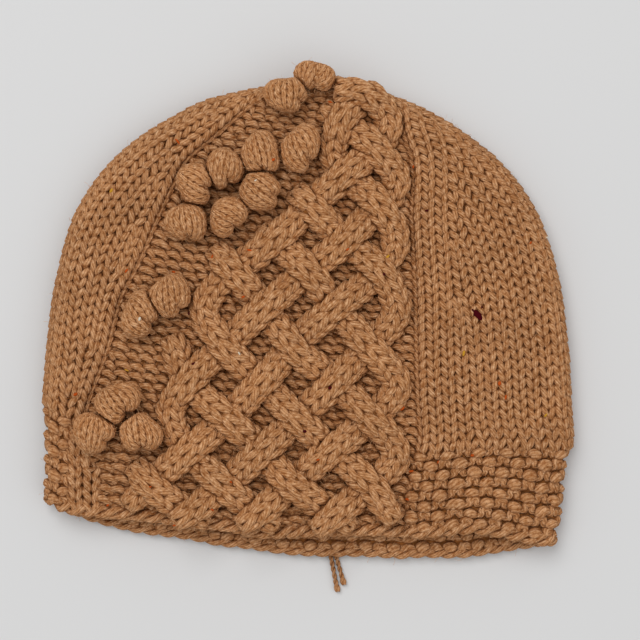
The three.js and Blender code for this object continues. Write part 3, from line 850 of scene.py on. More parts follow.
def bobble_seat(bobble):
    x, y, across, up, _ = bobble
    distance, out_x, out_y = edge_at([x], [y])
    inward = max(0.0, 1 - distance[0] / FOLD_RADIUS)
    normal = np.array([out_x[0] * inward, out_y[0] * inward, math.sqrt(1 - inward**2)])
    if distance[0] > FOLD_RADIUS:
        angle = np.arange(8) * TURN / 8
        level = front_height(
            x + SEAT_SHARE * across * np.cos(angle), y + SEAT_SHARE * up * np.sin(angle)).max()
    else:
        level = front_height([x], [y])[0]
    base = np.array([x, y, level]) + BOBBLE_SEAT * normal
    return normal, base + BOBBLE_LIFT * normal


SEATS = [bobble_seat(bobble) for bobble in BOBBLES]


def on_bobble(number, longitude, latitude, outwards):
    """Points on a bobble, flat where it sits and where it presses on its neighbours."""
    _, _, across, up, turned = BOBBLES[number]
    normal, middle = SEATS[number]
    angle = math.radians(turned)
    ball_x = np.cos(latitude) * np.sin(longitude)
    ball_y = np.sin(latitude)
    turned_x = ball_x * math.cos(angle) - ball_y * math.sin(angle)
    turned_y = ball_x * math.sin(angle) + ball_y * math.cos(angle)
    ball_z = np.cos(latitude) * np.cos(longitude)
    rim = np.hypot(turned_x, turned_y)
    around = np.arctan2(turned_y, turned_x)
    gather = -0.9 + 0.6 * math.sin(2.3 * number)
    off_gather = np.abs((around - gather + math.pi) % TURN - math.pi)
    fold = np.exp(-((off_gather / GATHER_WIDTH) ** 2)) * smooth(*GATHER_RIM, rim)
    lumps = sum(high * rim * np.sin(count * around + turn * number) for count, high, turn in LUMPS)
    if number % 3 == 1:
        from_dimple = (turned_x - DIMPLE_X) ** 2 + (turned_y - DIMPLE_Y) ** 2
        lumps = lumps - DIMPLE_DEPTH * np.exp(-from_dimple / DIMPLE_SPREAD)
    lumps = lumps + BOBBLE_PLUMP - GATHER_DEPTH * fold
    local = np.column_stack([
        (across + outwards + lumps) * turned_x,
        (up + outwards + lumps) * turned_y,
        (BOBBLE_HALF_HEIGHT + outwards + lumps) * ball_z,
    ])
    turn = Vector((0, 0, 1)).rotation_difference(Vector(normal)).to_matrix()
    points = local @ np.array(turn).T
    for other, (_, there) in enumerate(SEATS):
        if other == number:
            continue
        to_other = there - middle
        reach = np.linalg.norm(to_other) / 2 - BOBBLE_GAP / 2 + outwards
        to_other = to_other / np.linalg.norm(to_other)
        past = np.maximum(0, points @ to_other - reach)
        points -= past[:, None] * to_other
    sunk = points @ normal + BOBBLE_LIFT - BOBBLE_FLAT
    points += np.maximum(0, -sunk)[:, None] * normal
    return points + middle


def bobble_courses(number, bobbles, rng):
    """The rows of yarn over one bobble, from its lower pole to its upper one."""
    t = np.linspace(0, bobbles.wales * TURN, bobbles.wales * BOBBLE_SAMPLES + 1)
    width, height = BOBBLE_SPAN / bobbles.wales, BOBBLE_RISE / bobbles.rows
    highest = math.pi / 2 - BOBBLE_POLE
    longitude = -BOBBLE_SPAN / 2 + width * t / TURN + BOBBLE_LEAN * width * np.sin(2 * t)
    outwards = -bobbles.yarn / MM / 2 - BOBBLE_YARN_DEPTH - BOBBLE_RELIEF * np.cos(2 * t)
    courses = []
    for row in range(bobbles.rows):
        latitude = -BOBBLE_RISE / 2 + height * (row + 0.5 - BOBBLE_REACH * np.cos(t))
        latitude = np.clip(latitude + rng.normal(0, BOBBLE_UNEVEN), -highest, highest)
        points = np.array([on_bobble(number, longitude[[i]], latitude[[i]], outwards[i])[0]
                           for i in range(len(t))])
        courses.append((points, POLE_SWELL + (1 - POLE_SWELL) * np.cos(latitude)))
    return courses


WELD_DISTANCE = 0.01 * MM


def input_id(tree, name):
    for item in tree.interface.items_tree:
        if item.item_type == "SOCKET" and item.in_out == "INPUT" and item.name == name:
            return item.identifier
    raise KeyError(name)


def new_tree(name, inputs):
    """A node group for a modifier, with its geometry sockets and named inputs."""
    tree = bpy.data.node_groups.new(name, "GeometryNodeTree")
    tree.interface.new_socket("Geometry", in_out="INPUT", socket_type="NodeSocketGeometry")
    tree.interface.new_socket("Geometry", in_out="OUTPUT", socket_type="NodeSocketGeometry")
    for label, kind, default in inputs:
        socket = tree.interface.new_socket(label, in_out="INPUT", socket_type=kind)
        if default is not None:
            socket.default_value = default
    return tree


def plug(node, inputs):
    """Gives a node its inputs: a socket is linked, and any other value is set."""
    for key, value in inputs.items():
        if isinstance(value, bpy.types.NodeSocket):
            node.id_data.links.new(value, node.inputs[key])
        else:
            node.inputs[key].default_value = value
    return node


def adder(tree):
    """A function that adds a node to a tree: its kind, its inputs and its settings."""
    def add(kind, inputs=None, **settings):
        node = tree.nodes.new(kind)
        for name, value in settings.items():
            setattr(node, name, value)
        return plug(node, inputs or {})

    return add


def end_tree(add, geometry, wool):
    real = add("GeometryNodeRealizeInstances", {"Geometry": geometry})
    coloured = add("GeometryNodeSetMaterial", {"Geometry": real.outputs["Geometry"], "Material": wool})
    add("NodeGroupOutput", {"Geometry": coloured.outputs["Geometry"]})


def yarn_tree():
    """Turns lines into round yarn, with its length and its turn stored as a UV map."""
    tree = new_tree("Yarn along a course", [
        ("Yarn radius", "NodeSocketFloat", 1.5 * MM),
        ("Sides", "NodeSocketInt", 6),
        ("Wool", "NodeSocketMaterial", None),
    ])
    add = adder(tree)
    given = add("NodeGroupInput").outputs

    def kept(curve, value, name):
        """A curve with a value of its spline kept on it, and that value."""
        keep = add("GeometryNodeCaptureAttribute")
        keep.capture_items.new("FLOAT", name)
        spot = add("GeometryNodeSplineParameter")
        plug(keep, {"Geometry": curve, name: spot.outputs[value]})
        return keep.outputs["Geometry"], keep.outputs[name]

    line = add("GeometryNodeMeshToCurve", {"Mesh": given["Geometry"]})
    line, length_on_line = kept(line.outputs["Curve"], "Length", "Length")
    swell = add("GeometryNodeInputNamedAttribute", {"Name": "swell"}, data_type="FLOAT")
    points = add("ShaderNodeMath", {0: given["Sides"], 1: 1.0}, operation="ADD")
    ring = add("GeometryNodeCurveArc", {
        "Start Angle": 0.0, "Sweep Angle": TURN,
        "Resolution": points.outputs[0], "Radius": given["Yarn radius"]})
    ring, turn = kept(ring.outputs["Curve"], "Factor", "Turn")
    tube = add("GeometryNodeCurveToMesh", {
        "Curve": line, "Scale": swell.outputs["Attribute"], "Profile Curve": ring})
    pair = add("ShaderNodeCombineXYZ", {"X": length_on_line, "Y": turn})
    store = add("GeometryNodeStoreNamedAttribute", data_type="FLOAT2", domain="CORNER")
    plug(store, {"Name": "UVMap", "Geometry": tube.outputs["Mesh"], "Value": pair.outputs["Vector"]})
    weld = add("GeometryNodeMergeByDistance", {
        "Geometry": store.outputs["Geometry"], "Distance": WELD_DISTANCE})
    shade = add("GeometryNodeSetShadeSmooth", {"Geometry": weld.outputs["Geometry"]})
    end_tree(add, shade.outputs["Geometry"], given["Wool"])
    return tree


def shared_tree(name, make):
    return bpy.data.node_groups.get(name) or make()


def plain_mesh(name, carrier):
    """The evaluated result of a carrier's modifiers, as a new object without modifiers."""
    depsgraph = bpy.context.evaluated_depsgraph_get()
    mesh = bpy.data.meshes.new_from_object(carrier.evaluated_get(depsgraph), depsgraph=depsgraph)
    mesh.name = name
    piece = bpy.data.objects.new(name, mesh)
    bpy.context.scene.collection.objects.link(piece)
    old = carrier.data
    bpy.data.objects.remove(carrier, do_unlink=True)
    bpy.data.meshes.remove(old)
    if not len(mesh.polygons):
        raise RuntimeError(f"{name} came out empty")
    return piece


# Sides of the tubes of yarn: in the rounds, in the edge, cables and bobbles, and in the loose ends
ROUND_SIDES, YARN_SIDES, END_SIDES = 6, 7, 8


def yarn_piece(name, courses, yarn, sides, wool):
    """One piece of yarn work: every course is an open line whose two ends close to a point."""
    points, edges, swells, start = [], [], [], 0
    for path, swell in courses:
        path = np.vstack([path[:1], path, path[-1:]])
        path[0] += (path[1] - path[2]) * 0.05
        path[-1] += (path[-2] - path[-3]) * 0.05
        points.append(path)
        swells.append(np.concatenate([[0.0], swell, [0.0]]))
        index = np.arange(start, start + len(path))
        edges.append(np.column_stack([index[:-1], index[1:]]))
        start += len(path)
    mesh = bpy.data.meshes.new(name + "_line")
    points = np.vstack(points) * MM
    edges = np.vstack(edges)
    mesh.vertices.add(len(points))
    mesh.vertices.foreach_set("co", points.astype(np.float32).ravel())
    mesh.edges.add(len(edges))
    mesh.edges.foreach_set("vertices", edges.astype(np.int32).ravel())
    attribute = mesh.attributes.new("swell", "FLOAT", "POINT")
    attribute.data.foreach_set("value", np.concatenate(swells).astype(np.float32))
    mesh.update()
    carrier = bpy.data.objects.new(name + "_line", mesh)
    bpy.context.scene.collection.objects.link(carrier)
    tree = shared_tree("Yarn along a course", yarn_tree)
    modifier = carrier.modifiers.new("Yarn", "NODES")
    modifier.node_group = tree
    modifier[input_id(tree, "Yarn radius")] = float(yarn / 2)
    modifier[input_id(tree, "Sides")] = int(sides)
    modifier[input_id(tree, "Wool")] = wool
    return plain_mesh(name, carrier)


def fit(piece, slot, *nodes):
    """Sets a finished piece on the frame."""
    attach(piece, "root")
    if nodes:
        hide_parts(*nodes)


def ring_faces(rings, around, start=0):
    """The faces between rings of points that follow one another."""
    faces = []
    for first in range(start, start + (rings - 1) * around, around):
        for k in range(around):
            a, b = first + k, first + (k + 1) % around
            faces.append((a, b, b + around, a + around))
    return faces


def mesh_piece(name, points, faces, material):
    mesh = bpy.data.meshes.new(name)
    mesh.from_pydata([tuple(point) for point in np.asarray(points) * MM], [], faces)
    mesh.validate()
    mesh.polygons.foreach_set("use_smooth", [True] * len(mesh.polygons))
    mesh.materials.append(material)
    piece = bpy.data.objects.new(name, mesh)
    bpy.context.scene.collection.objects.link(piece)
    return piece


def new_material(name, surface):
    """A material, its function for nodes and its shader, which has the surface's values set on it."""
    material = bpy.data.materials.new(name)
    material.use_nodes = True
    shader = plug(material.node_tree.nodes["Principled BSDF"], surface)
    return material, adder(material.node_tree), shader


def object_place(add):
    return add("ShaderNodeTexCoord").outputs["Object"]


def noise(add, place, scale, detail=2.0, roughness=0.5):
    return add("ShaderNodeTexNoise", {
        "Vector": place, "Scale": scale, "Detail": detail, "Roughness": roughness}).outputs["Fac"]


def two_tone(add, factor, first, second, low=0.0, high=1.0):
    """A colour between two others, by a factor."""
    ramp = add("ShaderNodeValToRGB", {"Fac": factor})
    for element, place, tone in zip(ramp.color_ramp.elements, (low, high), (first, second)):
        element.position = place
        element.color = (*tone, 1)
    return ramp.outputs["Color"]


def shaded(tone, gain, painted_light_share=(1, 1, 1)):
    return tuple(min(1, channel * gain * share) for channel, share in zip(tone, painted_light_share))


def bump(add, height, distance, strength=1.0):
    return add("ShaderNodeBump", {
        "Height": height, "Distance": distance, "Strength": strength}).outputs["Normal"]


# The yarn: its plies, the length of its twist, how finely its fibres run along it, the scales of the
# noises, and how far the painted shade of hollows and pits reaches
PLIES = 7
TWIST = 21 * MM
FIBRE_STRETCH = 210
HOLLOW_SHADE_REACH = 1.8 * MM
PIT_SHADE_REACH = 7 * MM
FIBRE_SCALE, PATCH_SCALE, MOTTLE_SCALE, SPECK_SCALE, BACKING_SCALE = 2.7, 60, 560, 1000, 500


def wool_material(name, painted_light_share):
    """Tweed wool: twisted plies, fibres along the twist, mottled colour and small flecks, painted shade in
    the grooves between plies and in hollows and pits, and a painted light share that makes raised pieces
    lighter.
    """
    found = bpy.data.materials.get(name)
    if found:
        return found
    colours = bpy.context.scene.hat_wool
    material, add, shader = new_material(name, {
        "Roughness": 0.9,
        "Specular IOR Level": 0.06,
        "Sheen Weight": 0.05,
        "Sheen Roughness": 0.45,
        "Sheen Tint": (0.95, 0.62, 0.36, 1),
    })

    def compute(operation, a, b=0.0):
        return add("ShaderNodeMath", {0: a, 1: b}, operation=operation).outputs[0]

    def ramp(value, low, high, strength=1.0):
        """How far a value is from low to high, times a strength."""
        node = add("ShaderNodeMapRange", interpolation_type="SMOOTHSTEP")
        plug(node, {"Value": value, "From Min": low, "From Max": high})
        return compute("MULTIPLY", node.outputs["Result"], strength)

    def over(base, factor, tone, gain=1.0):
        """A colour laid over the one below it."""
        layer = add("ShaderNodeMix", data_type="RGBA")
        return plug(layer, {0: factor, 6: base, 7: (*shaded(tone, gain, painted_light_share), 1)}).outputs[2]

    # How closed in a point of the yarn is, which sets the painted shade of hollows and pits
    def painted_shade_occlusion(reach, samples):
        node = add("ShaderNodeAmbientOcclusion", {"Distance": reach}, samples=samples)
        return node.outputs["AO"]

    uv = add("ShaderNodeUVMap", uv_map="UVMap")
    split = add("ShaderNodeSeparateXYZ", {0: uv.outputs["UV"]})
    along, turn = split.outputs["X"], split.outputs["Y"]
    wound = compute("ADD", turn, compute("DIVIDE", along, TWIST))
    angle = compute("MULTIPLY", wound, TURN)
    plies = compute("COSINE", compute("MULTIPLY", angle, PLIES))
    fibre_place = add("ShaderNodeCombineXYZ", {
        "X": compute("COSINE", angle),
        "Y": compute("SINE", angle),
        "Z": compute("MULTIPLY", along, FIBRE_STRETCH),
    })
    fibres = noise(add, fibre_place.outputs[0], FIBRE_SCALE, 3, 0.65)
    place = object_place(add)
    patches = noise(add, place, PATCH_SCALE, 3)
    mottle = noise(add, place, MOTTLE_SCALE, 4, 0.65)
    specks = noise(add, place, SPECK_SCALE, 1)

    base = over((*shaded(colours.wool, 0.9, painted_light_share), 1), ramp(patches, 0.3, 0.7), colours.wool, 1.1)
    base = over(base, ramp(mottle, 0.45, 0.75), colours.pale)
    base = over(base, ramp(mottle, 0.5, 0.25, 0.8), colours.deep)
    base = over(base, ramp(fibres, 0.50, 0.33, 0.62), colours.deep, 1.3)
    base = over(base, ramp(fibres, 0.52, 0.70, 0.6), colours.pale, 1.1)
    # Painted shade in the grooves between the plies
    base = over(base, ramp(plies, -0.1, -1.0, 0.5), colours.deep, 1.1)
    base = over(base, ramp(specks, 0.70, 0.76, 0.8), colours.deep, 0.5)
    # Painted shade: the wool darkens towards the deep colour in the hollows between stitches and in the pits
    # round cables and bobbles
    base = over(base, ramp(painted_shade_occlusion(HOLLOW_SHADE_REACH, 6), 0.9, 0.4, 0.74), colours.deep, 0.7)
    base = over(base, ramp(painted_shade_occlusion(PIT_SHADE_REACH, 4), 0.5, 0.1, 0.55), colours.deep, 0.9)

    height = compute("ADD", compute("MULTIPLY", plies, 0.5), compute("MULTIPLY", fibres, 1.6))
    height = compute("ADD", height, compute("MULTIPLY", mottle, 0.6))
    plug(shader, {"Base Color": base, "Normal": bump(add, height, 0.25 * MM, 0.8)})
    return material


def backing_material():
    # Painted shade: a dark wool colour for the depth behind the stitches
    name = "shaded_wool_backing"
    if name in bpy.data.materials:
        return bpy.data.materials[name]
    dark = bpy.context.scene.hat_wool.backing
    material, add, shader = new_material(name, {"Roughness": 1.0, "Specular IOR Level": 0.1})
    cloud = noise(add, object_place(add), BACKING_SCALE, 4)
    tone = two_tone(add, cloud, shaded(dark, 0.6), shaded(dark, 1.6), 0.35, 0.7)
    plug(shader, {"Base Color": tone, "Normal": bump(add, cloud, 0.3 * MM)})
    return material


# Painted light by colour channel: the knitting, cables and bobbles are one wool, and the raised cables and
# bobbles are painted lighter
KNIT_TINT = (1.0, 1.0, 1.0)
CABLE_PAINTED_LIGHT = (1.04, 1.04, 1.03)
BOBBLE_PAINTED_LIGHT = (1.11, 1.11, 1.10)


# The camera straight above the hat and the square lights: power, size and place, in metres
SENSOR = 36
CAMERA_DISTANCE = 0.9
CAMERA_PLACE = (5.27 * MM, -3.87 * MM, CAMERA_DISTANCE + 13 * MM)
FLOOR_HALF = 2
LIGHTS = {
    "key_light": (36, 1.8, (-0.7, 1.1, 2.4)),
    "fill_light": (14, 3.0, (1.5, -1.0, 2.4)),
}
ROOM_LIGHT = 0.5


class HAT_OT_stage(bpy.types.Operator):
    """Makes the camera, the pale floor and the soft light"""
    bl_idname = "hat.stage"
    bl_label = "Stage"

    def execute(self, context):
        stage = context.scene.hat_stage
        camera = bpy.data.objects.new("camera", bpy.data.cameras.new("camera"))
        context.scene.collection.objects.link(camera)
        camera.data.sensor_width = SENSOR
        camera.data.lens = SENSOR * CAMERA_DISTANCE / stage.view_width
        camera.location = CAMERA_PLACE
        camera.data.clip_end = 10
        camera.data.dof.use_dof = False
        context.scene.camera = camera

        mesh = bpy.data.meshes.new("floor")
        corners = [(x * FLOOR_HALF, y * FLOOR_HALF, 0) for x, y in ((-1, -1), (1, -1), (1, 1), (-1, 1))]
        mesh.from_pydata(corners, [], [(0, 1, 2, 3)])
        floor = bpy.data.objects.new("floor", mesh)
        context.scene.collection.objects.link(floor)
        paint, add, shader = new_material("pale_floor", {"Roughness": 0.8, "Specular IOR Level": 0.1})
        cloud = noise(add, object_place(add), 3)
        tone = two_tone(add, cloud, shaded(stage.floor, 0.99), shaded(stage.floor, 1.01))
        plug(shader, {"Base Color": tone})
        mesh.materials.append(paint)

        for name, (power, size, place) in LIGHTS.items():
            light = bpy.data.lights.new(name, "AREA")
            light.shape = "SQUARE"
            light.size, light.energy = size, power
            lamp = bpy.data.objects.new(name, light)
            lamp.location = place
            lamp.rotation_euler = (-Vector(place)).to_track_quat("-Z", "Y").to_euler()
            context.scene.collection.objects.link(lamp)
        world = bpy.data.worlds.new("soft_room")
        world.use_nodes = True
        plug(world.node_tree.nodes["Background"], {"Color": (1, 1, 1, 1), "Strength": ROOM_LIGHT})
        context.scene.world = world
        context.scene.view_settings.view_transform = "Standard"
        return {"FINISHED"}


# How deep the two faces of the backing lie, above the brim and in it, and its grid: points to a
# panel, and levels from where to where up the hat, and how many
BACKING_DEPTHS = ((1.5, 2.3), (2.5, 2.8))
BACKING_POINTS = 24
BACKING_LEVELS = ((0.008, 0.94, 70), (0.95, 1, 12))


class HAT_OT_backing(bpy.types.Operator):
    """Lays the backing inside the fabric, behind the stitches: a dark sheet of painted shade for the gaps
    between them
    """
    bl_idname = "hat.backing"
    bl_label = "Backing"

    def execute(self, context):
        q = np.linspace(0, 1, BACKING_POINTS + 1)[:-1]
        shares = [q**2, q, 1 - (1 - q) ** 2, q**2, q, 1 - (1 - q) ** 2]
        places = np.concatenate([panel + share for panel, share in enumerate(shares)])
        heights = np.concatenate([np.linspace(*levels) for levels in BACKING_LEVELS])
        around = len(places)
        points = []
        for depth, brim_depth in BACKING_DEPTHS:
            for height in heights:
                outer, normal = round_point(places, np.full(around, height))
                sunk = brim_depth + (depth - brim_depth) * smooth(*BACKING_BLEND, height)
                points.append(outer - normal * fabric_depth(places, height, outer, sunk)[:, None])
        points = np.vstack(points)
        levels = len(heights)
        faces = ring_faces(levels, around)
        faces += [face[::-1] for face in ring_faces(levels, around, levels * around)]
        top = (levels - 1) * around
        for k in range(around):
            a, b = k, (k + 1) % around
            faces.append((b, a, a + levels * around, b + levels * around))
            faces.append((top + a, top + b, top + b + levels * around, top + a + levels * around))
        piece = mesh_piece("fabric_backing", points, faces, backing_material())
        fit(piece, "knit", "hat_body")
        return {"FINISHED"}


class HAT_OT_rounds(bpy.types.Operator):
    """Knits the hat round by round: the moss stitch brim, the sides and the crown"""
    bl_idname = "hat.rounds"
    bl_label = "Rounds of knitting"

    def execute(self, context):
        knit = context.scene.hat_knit
        rng = np.random.default_rng(ROUNDS_SEED)
        rounds = [knit_round(row, knit, rng) for row in range(ROWS)]
        wool = wool_material("tweed_wool_knit", KNIT_TINT)
        for name, low, high in (
            ("brim_knit", 0, BRIM_ROWS),
            ("side_knit", BRIM_ROWS, UPPER_ROW),
            ("upper_knit", UPPER_ROW, CROWN_ROW),
            ("crown_knit", CROWN_ROW, ROWS),
        ):
            piece = yarn_piece(name, rounds[low:high], knit.yarn, ROUND_SIDES, wool)
            fit(piece, "knit", "hat_body")
        return {"FINISHED"}


# The cast-on edge: length of one twist, and its height in rows, its width in millimetres and its
# swell on the back, with what each gains on the front
EDGE_TWIST = 13.5
EDGE_SAMPLES = 14
EDGE_HEIGHT = (-0.12, 0.2)
EDGE_SWING = (0.22, 0.1)
EDGE_DEPTH = (0.85, 0.3)
EDGE_SWELL = (0.86, 0.16)
# Where round the mouth, in panels, the front begins, ends and begins again, each blended over a range
EDGE_FRONT = ((-0.1, 0.1), (3.15, 2.9), (5.9, 6.0))


class HAT_OT_hem(bpy.types.Operator):
    """Casts on the twisted edge that runs round the mouth of the hat"""
    bl_idname = "hat.hem"
    bl_label = "Cast-on edge"

    def execute(self, context):
        knit = context.scene.hat_knit
        surface, _ = round_point(FINE, row_height(0))
        along = lengths_along(surface)
        turns = int(round(along[-1] / EDGE_TWIST))
        s = np.linspace(0, along[-1], turns * EDGE_SAMPLES)
        place = np.interp(s, along, FINE)
        begins, ends, again = (smooth(*blend, place) for blend in EDGE_FRONT)
        front = ends * begins + again
        height, swing_up, swing_out, swell = (
            back + gain * front for back, gain in (EDGE_HEIGHT, EDGE_SWING, EDGE_DEPTH, EDGE_SWELL))
        courses = []
        for start in (0, math.pi):
            angle = s / along[-1] * turns * TURN + start
            outer, normal = round_point(place, row_height(height + swing_up * np.sin(angle)))
            sunk = fabric_depth(place, 0.0, outer, YARN_DEPTH)
            courses.append((outer + normal * (swing_out * np.cos(angle) - sunk)[:, None], swell))
        wool = wool_material("tweed_wool_knit", KNIT_TINT)
        piece = yarn_piece("cast_on_edge", courses, knit.yarn, YARN_SIDES, wool)
        fit(piece, "knit", "hat_body")
        return {"FINISHED"}


class HAT_OT_cables(bpy.types.Operator):
    """Knits the eight cables of the lattice, which pass over and under each other"""
    bl_idname = "hat.cables"
    bl_label = "Cables"

    def execute(self, context):
        scene = context.scene
        rng = np.random.default_rng(CABLES_SEED)
        wool = wool_material("tweed_wool_cable", CABLE_PAINTED_LIGHT)
        for i, cable in enumerate(CABLES):
            courses = cable_courses(cable, scene.hat_cables, scene.hat_knit, rng)
            piece = yarn_piece(f"cable_{i + 1}_knit", courses, scene.hat_knit.yarn, YARN_SIDES, wool)
            fit(piece, "cable", f"cable_rope_{i + 1}")
            # The filling under the cable carries the backing's painted shade, seen through the gaps between
            # its stitches
            rings = cable_filling(cable)
            count, around = rings.shape[:2]
            faces = ring_faces(count, around)
            faces += [tuple(range(around))[::-1], tuple(range((count - 1) * around, count * around))]
            core = mesh_piece(f"cable_{i + 1}_filling", rings.reshape(-1, 3), faces, backing_material())
            fit(core, "cable", f"cable_rope_{i + 1}")
        return {"FINISHED"}


class HAT_OT_bobbles(bpy.types.Operator):
    """Knits the fourteen bobbles, each a small gathered ball of stitches"""
    bl_idname = "hat.bobbles"
    bl_label = "Bobbles"

    def execute(self, context):
        bobbles = context.scene.hat_bobbles
        rng = np.random.default_rng(BOBBLES_SEED)
        wool = wool_material("tweed_wool_bobble", BOBBLE_PAINTED_LIGHT)
        around, up = 20, 12
        for number in range(len(BOBBLES)):
            courses = bobble_courses(number, bobbles, rng)
            piece = yarn_piece(f"bobble_{number + 1}_knit", courses, bobbles.yarn, YARN_SIDES, wool)
            fit(piece, "bobble", f"bobble_{number + 1}")
            # The filling inside the bobble carries the backing's painted shade, seen through the gaps
            # between its stitches
            longitude, latitude = np.meshgrid(
                np.arange(around) / around * TURN, np.linspace(-math.pi / 2, math.pi / 2, up + 1))
            points = on_bobble(number, longitude.ravel(), latitude.ravel(), -BOBBLE_FILLING_DEPTH)
            faces = ring_faces(up + 1, around)
            core = mesh_piece(f"bobble_{number + 1}_filling", points, faces, backing_material())
            fit(core, "bobble", f"bobble_{number + 1}")
        return {"FINISHED"}


FIBRE_SEED = 5
FIBRE_RADIUS = 0.05 * MM
FIBRE_SHAPE = {"Start": (0, 0, 0), "Middle": (0.1, 0, 0.55), "End": (0.75, 0.15, 0.6)}
FIBRE_TILT = 0.9
FIBRE_SIZES = (0.35, 1.25)
FIBRE_LOWEST = 0.1 * MM


def loose_fibre_tree():
    """Scatters short curved fibres over the wool."""
    tree = new_tree("Loose fibres", [
        ("Density", "NodeSocketFloat", 1000.0),
        ("Fibre length", "NodeSocketFloat", 4 * MM),
        ("Fibre radius", "NodeSocketFloat", FIBRE_RADIUS),
        ("Seed", "NodeSocketInt", FIBRE_SEED),
        ("Wool", "NodeSocketMaterial", None),
    ])
    add = adder(tree)
    given = add("NodeGroupInput").outputs
    scatter = add("GeometryNodeDistributePointsOnFaces", {
        "Mesh": given["Geometry"], "Density": given["Density"], "Seed": given["Seed"]})

    arc = add("GeometryNodeCurveQuadraticBezier", {"Resolution": 3, **FIBRE_SHAPE})
    sized = add("GeometryNodeTransform", {"Geometry": arc.outputs["Curve"], "Scale": given["Fibre length"]})
    ring = add("GeometryNodeCurvePrimitiveCircle", {"Resolution": 3, "Radius": given["Fibre radius"]})
    tube = add("GeometryNodeCurveToMesh", {
        "Fill Caps": True, "Curve": sized.outputs["Geometry"], "Profile Curve": ring.outputs["Curve"]})

    spin = add("FunctionNodeRandomValue", data_type="FLOAT_VECTOR")
    plug(spin, {0: (-FIBRE_TILT, -FIBRE_TILT, 0), 1: (FIBRE_TILT, FIBRE_TILT, TURN), "Seed": given["Seed"]})
    turn = add("FunctionNodeRotateRotation", {
        "Rotation": scatter.outputs["Rotation"], "Rotate By": spin.outputs["Value"]}, rotation_space="LOCAL")
    grow = add("FunctionNodeRandomValue", data_type="FLOAT")
    plug(grow, {2: FIBRE_SIZES[0], 3: FIBRE_SIZES[1], "Seed": given["Seed"]})
    place = add("GeometryNodeInstanceOnPoints", {
        "Points": scatter.outputs["Points"], "Instance": tube.outputs["Mesh"],
        "Rotation": turn.outputs["Rotation"], "Scale": grow.outputs[1]})
    real = add("GeometryNodeRealizeInstances", {"Geometry": place.outputs["Instances"]})

    spot = add("GeometryNodeInputPosition")
    split = add("ShaderNodeSeparateXYZ", {0: spot.outputs["Position"]})
    above = add("ShaderNodeMath", {0: split.outputs["Z"], 1: FIBRE_LOWEST}, operation="MAXIMUM")
    joined = add("ShaderNodeCombineXYZ", {
        "X": split.outputs["X"], "Y": split.outputs["Y"], "Z": above.outputs[0]})
    raised = add("GeometryNodeSetPosition", {
        "Geometry": real.outputs["Geometry"], "Position": joined.outputs[0]})
    end_tree(add, raised.outputs["Geometry"], given["Wool"])
    return tree


def fibre_material():
    colours = bpy.context.scene.hat_wool
    material, add, shader = new_material(
        "loose_wool_fibres", {"Roughness": 0.8, "Specular IOR Level": 0.3})
    cloud = noise(add, object_place(add), 300)
    plug(shader, {"Base Color": two_tone(add, cloud, shaded(colours.wool, 1), shaded(colours.pale, 1.15))})
    return material


MAROON = (0.06, 0.002, 0.005)
RUST = (0.50, 0.085, 0.012)
MUSTARD = (0.58, 0.30, 0.03)
CREAM = (0.72, 0.62, 0.48)

# Flecks of the tweed by colour: x, y, length, width and angle in degrees
FLECKS = {
    MAROON: [
        (72.8, -1.7, 5.8, 2.7, -50), (70.7, 0.3, 1.6, 0.8, -60), (74.6, 1.6, 1.3, 0.7, 70),
        (50.9, 43.0, 1.5, 1.2, 20), (-48.5, -22.4, 2.0, 0.9, 25), (9.6, -32.7, 1.9, 1.3, 5),
        (32.4, 15.5, 1.3, 1.1, 60), (-50.6, -0.9, 1.9, 1.1, 60), (-1.2, -51.2, 1.7, 1.2, 0),
    ],
    RUST: [
        (-55.8, 72.7, 3.2, 0.8, -50), (-77.7, 17.2, 2.1, 1.0, 50), (-99.6, -35.7, 2.0, 1.2, 30),
        (-67.0, -74.8, 1.6, 0.8, 10), (-85.9, -83.4, 1.6, 0.9, 40), (-40.7, -84.7, 1.6, 0.9, -20),
        (-56.7, -91.2, 1.5, 0.8, 10), (-24.8, 25.8, 2.3, 0.9, -15), (16.9, 26.2, 1.7, 1.0, 20),
        (-40.7, 23.2, 1.9, 0.9, 70), (-57.5, 16.8, 1.8, 0.9, -20), (-27.4, 6.0, 1.7, 0.9, 20),
        (82.2, -31.0, 2.0, 1.5, 75), (84.8, -37.0, 2.2, 1.0, 80), (70.6, -61.9, 1.8, 1.2, 15),
        (56.0, -64.9, 1.6, 1.0, 80), (44.4, -68.8, 2.2, 1.2, 10), (42.7, -80.8, 1.9, 1.1, -15),
        (4.4, -63.2, 1.6, 0.8, 20), (-14.5, 64.1, 1.7, 1.1, 30), (9.6, 89.4, 1.9, 0.9, -20),
        (40.5, -41.7, 2.4, 1.3, 40), (45.3, 61.9, 1.5, 0.9, 80), (95.6, 29.2, 1.4, 0.9, 60),
        (-32.6, -72.7, 1.5, 0.8, -40),
    ],
    MUSTARD: [
        (-84.2, 51.6, 2.0, 1.2, 60), (66.8, -18.1, 2.5, 1.2, 80), (34.1, 23.2, 2.0, 1.2, 45),
        (102.0, -44.7, 1.9, 0.9, 50), (-77.7, -25.4, 2.2, 0.9, -20),
    ],
    CREAM: [
        (102.9, 31.8, 1.5, 0.8, 10), (-29.1, -18.1, 1.7, 0.9, -60), (-71.0, -3.4, 1.8, 1.2, 70),
        (-22.0, 55.2, 1.3, 0.7, 30),
    ],
}


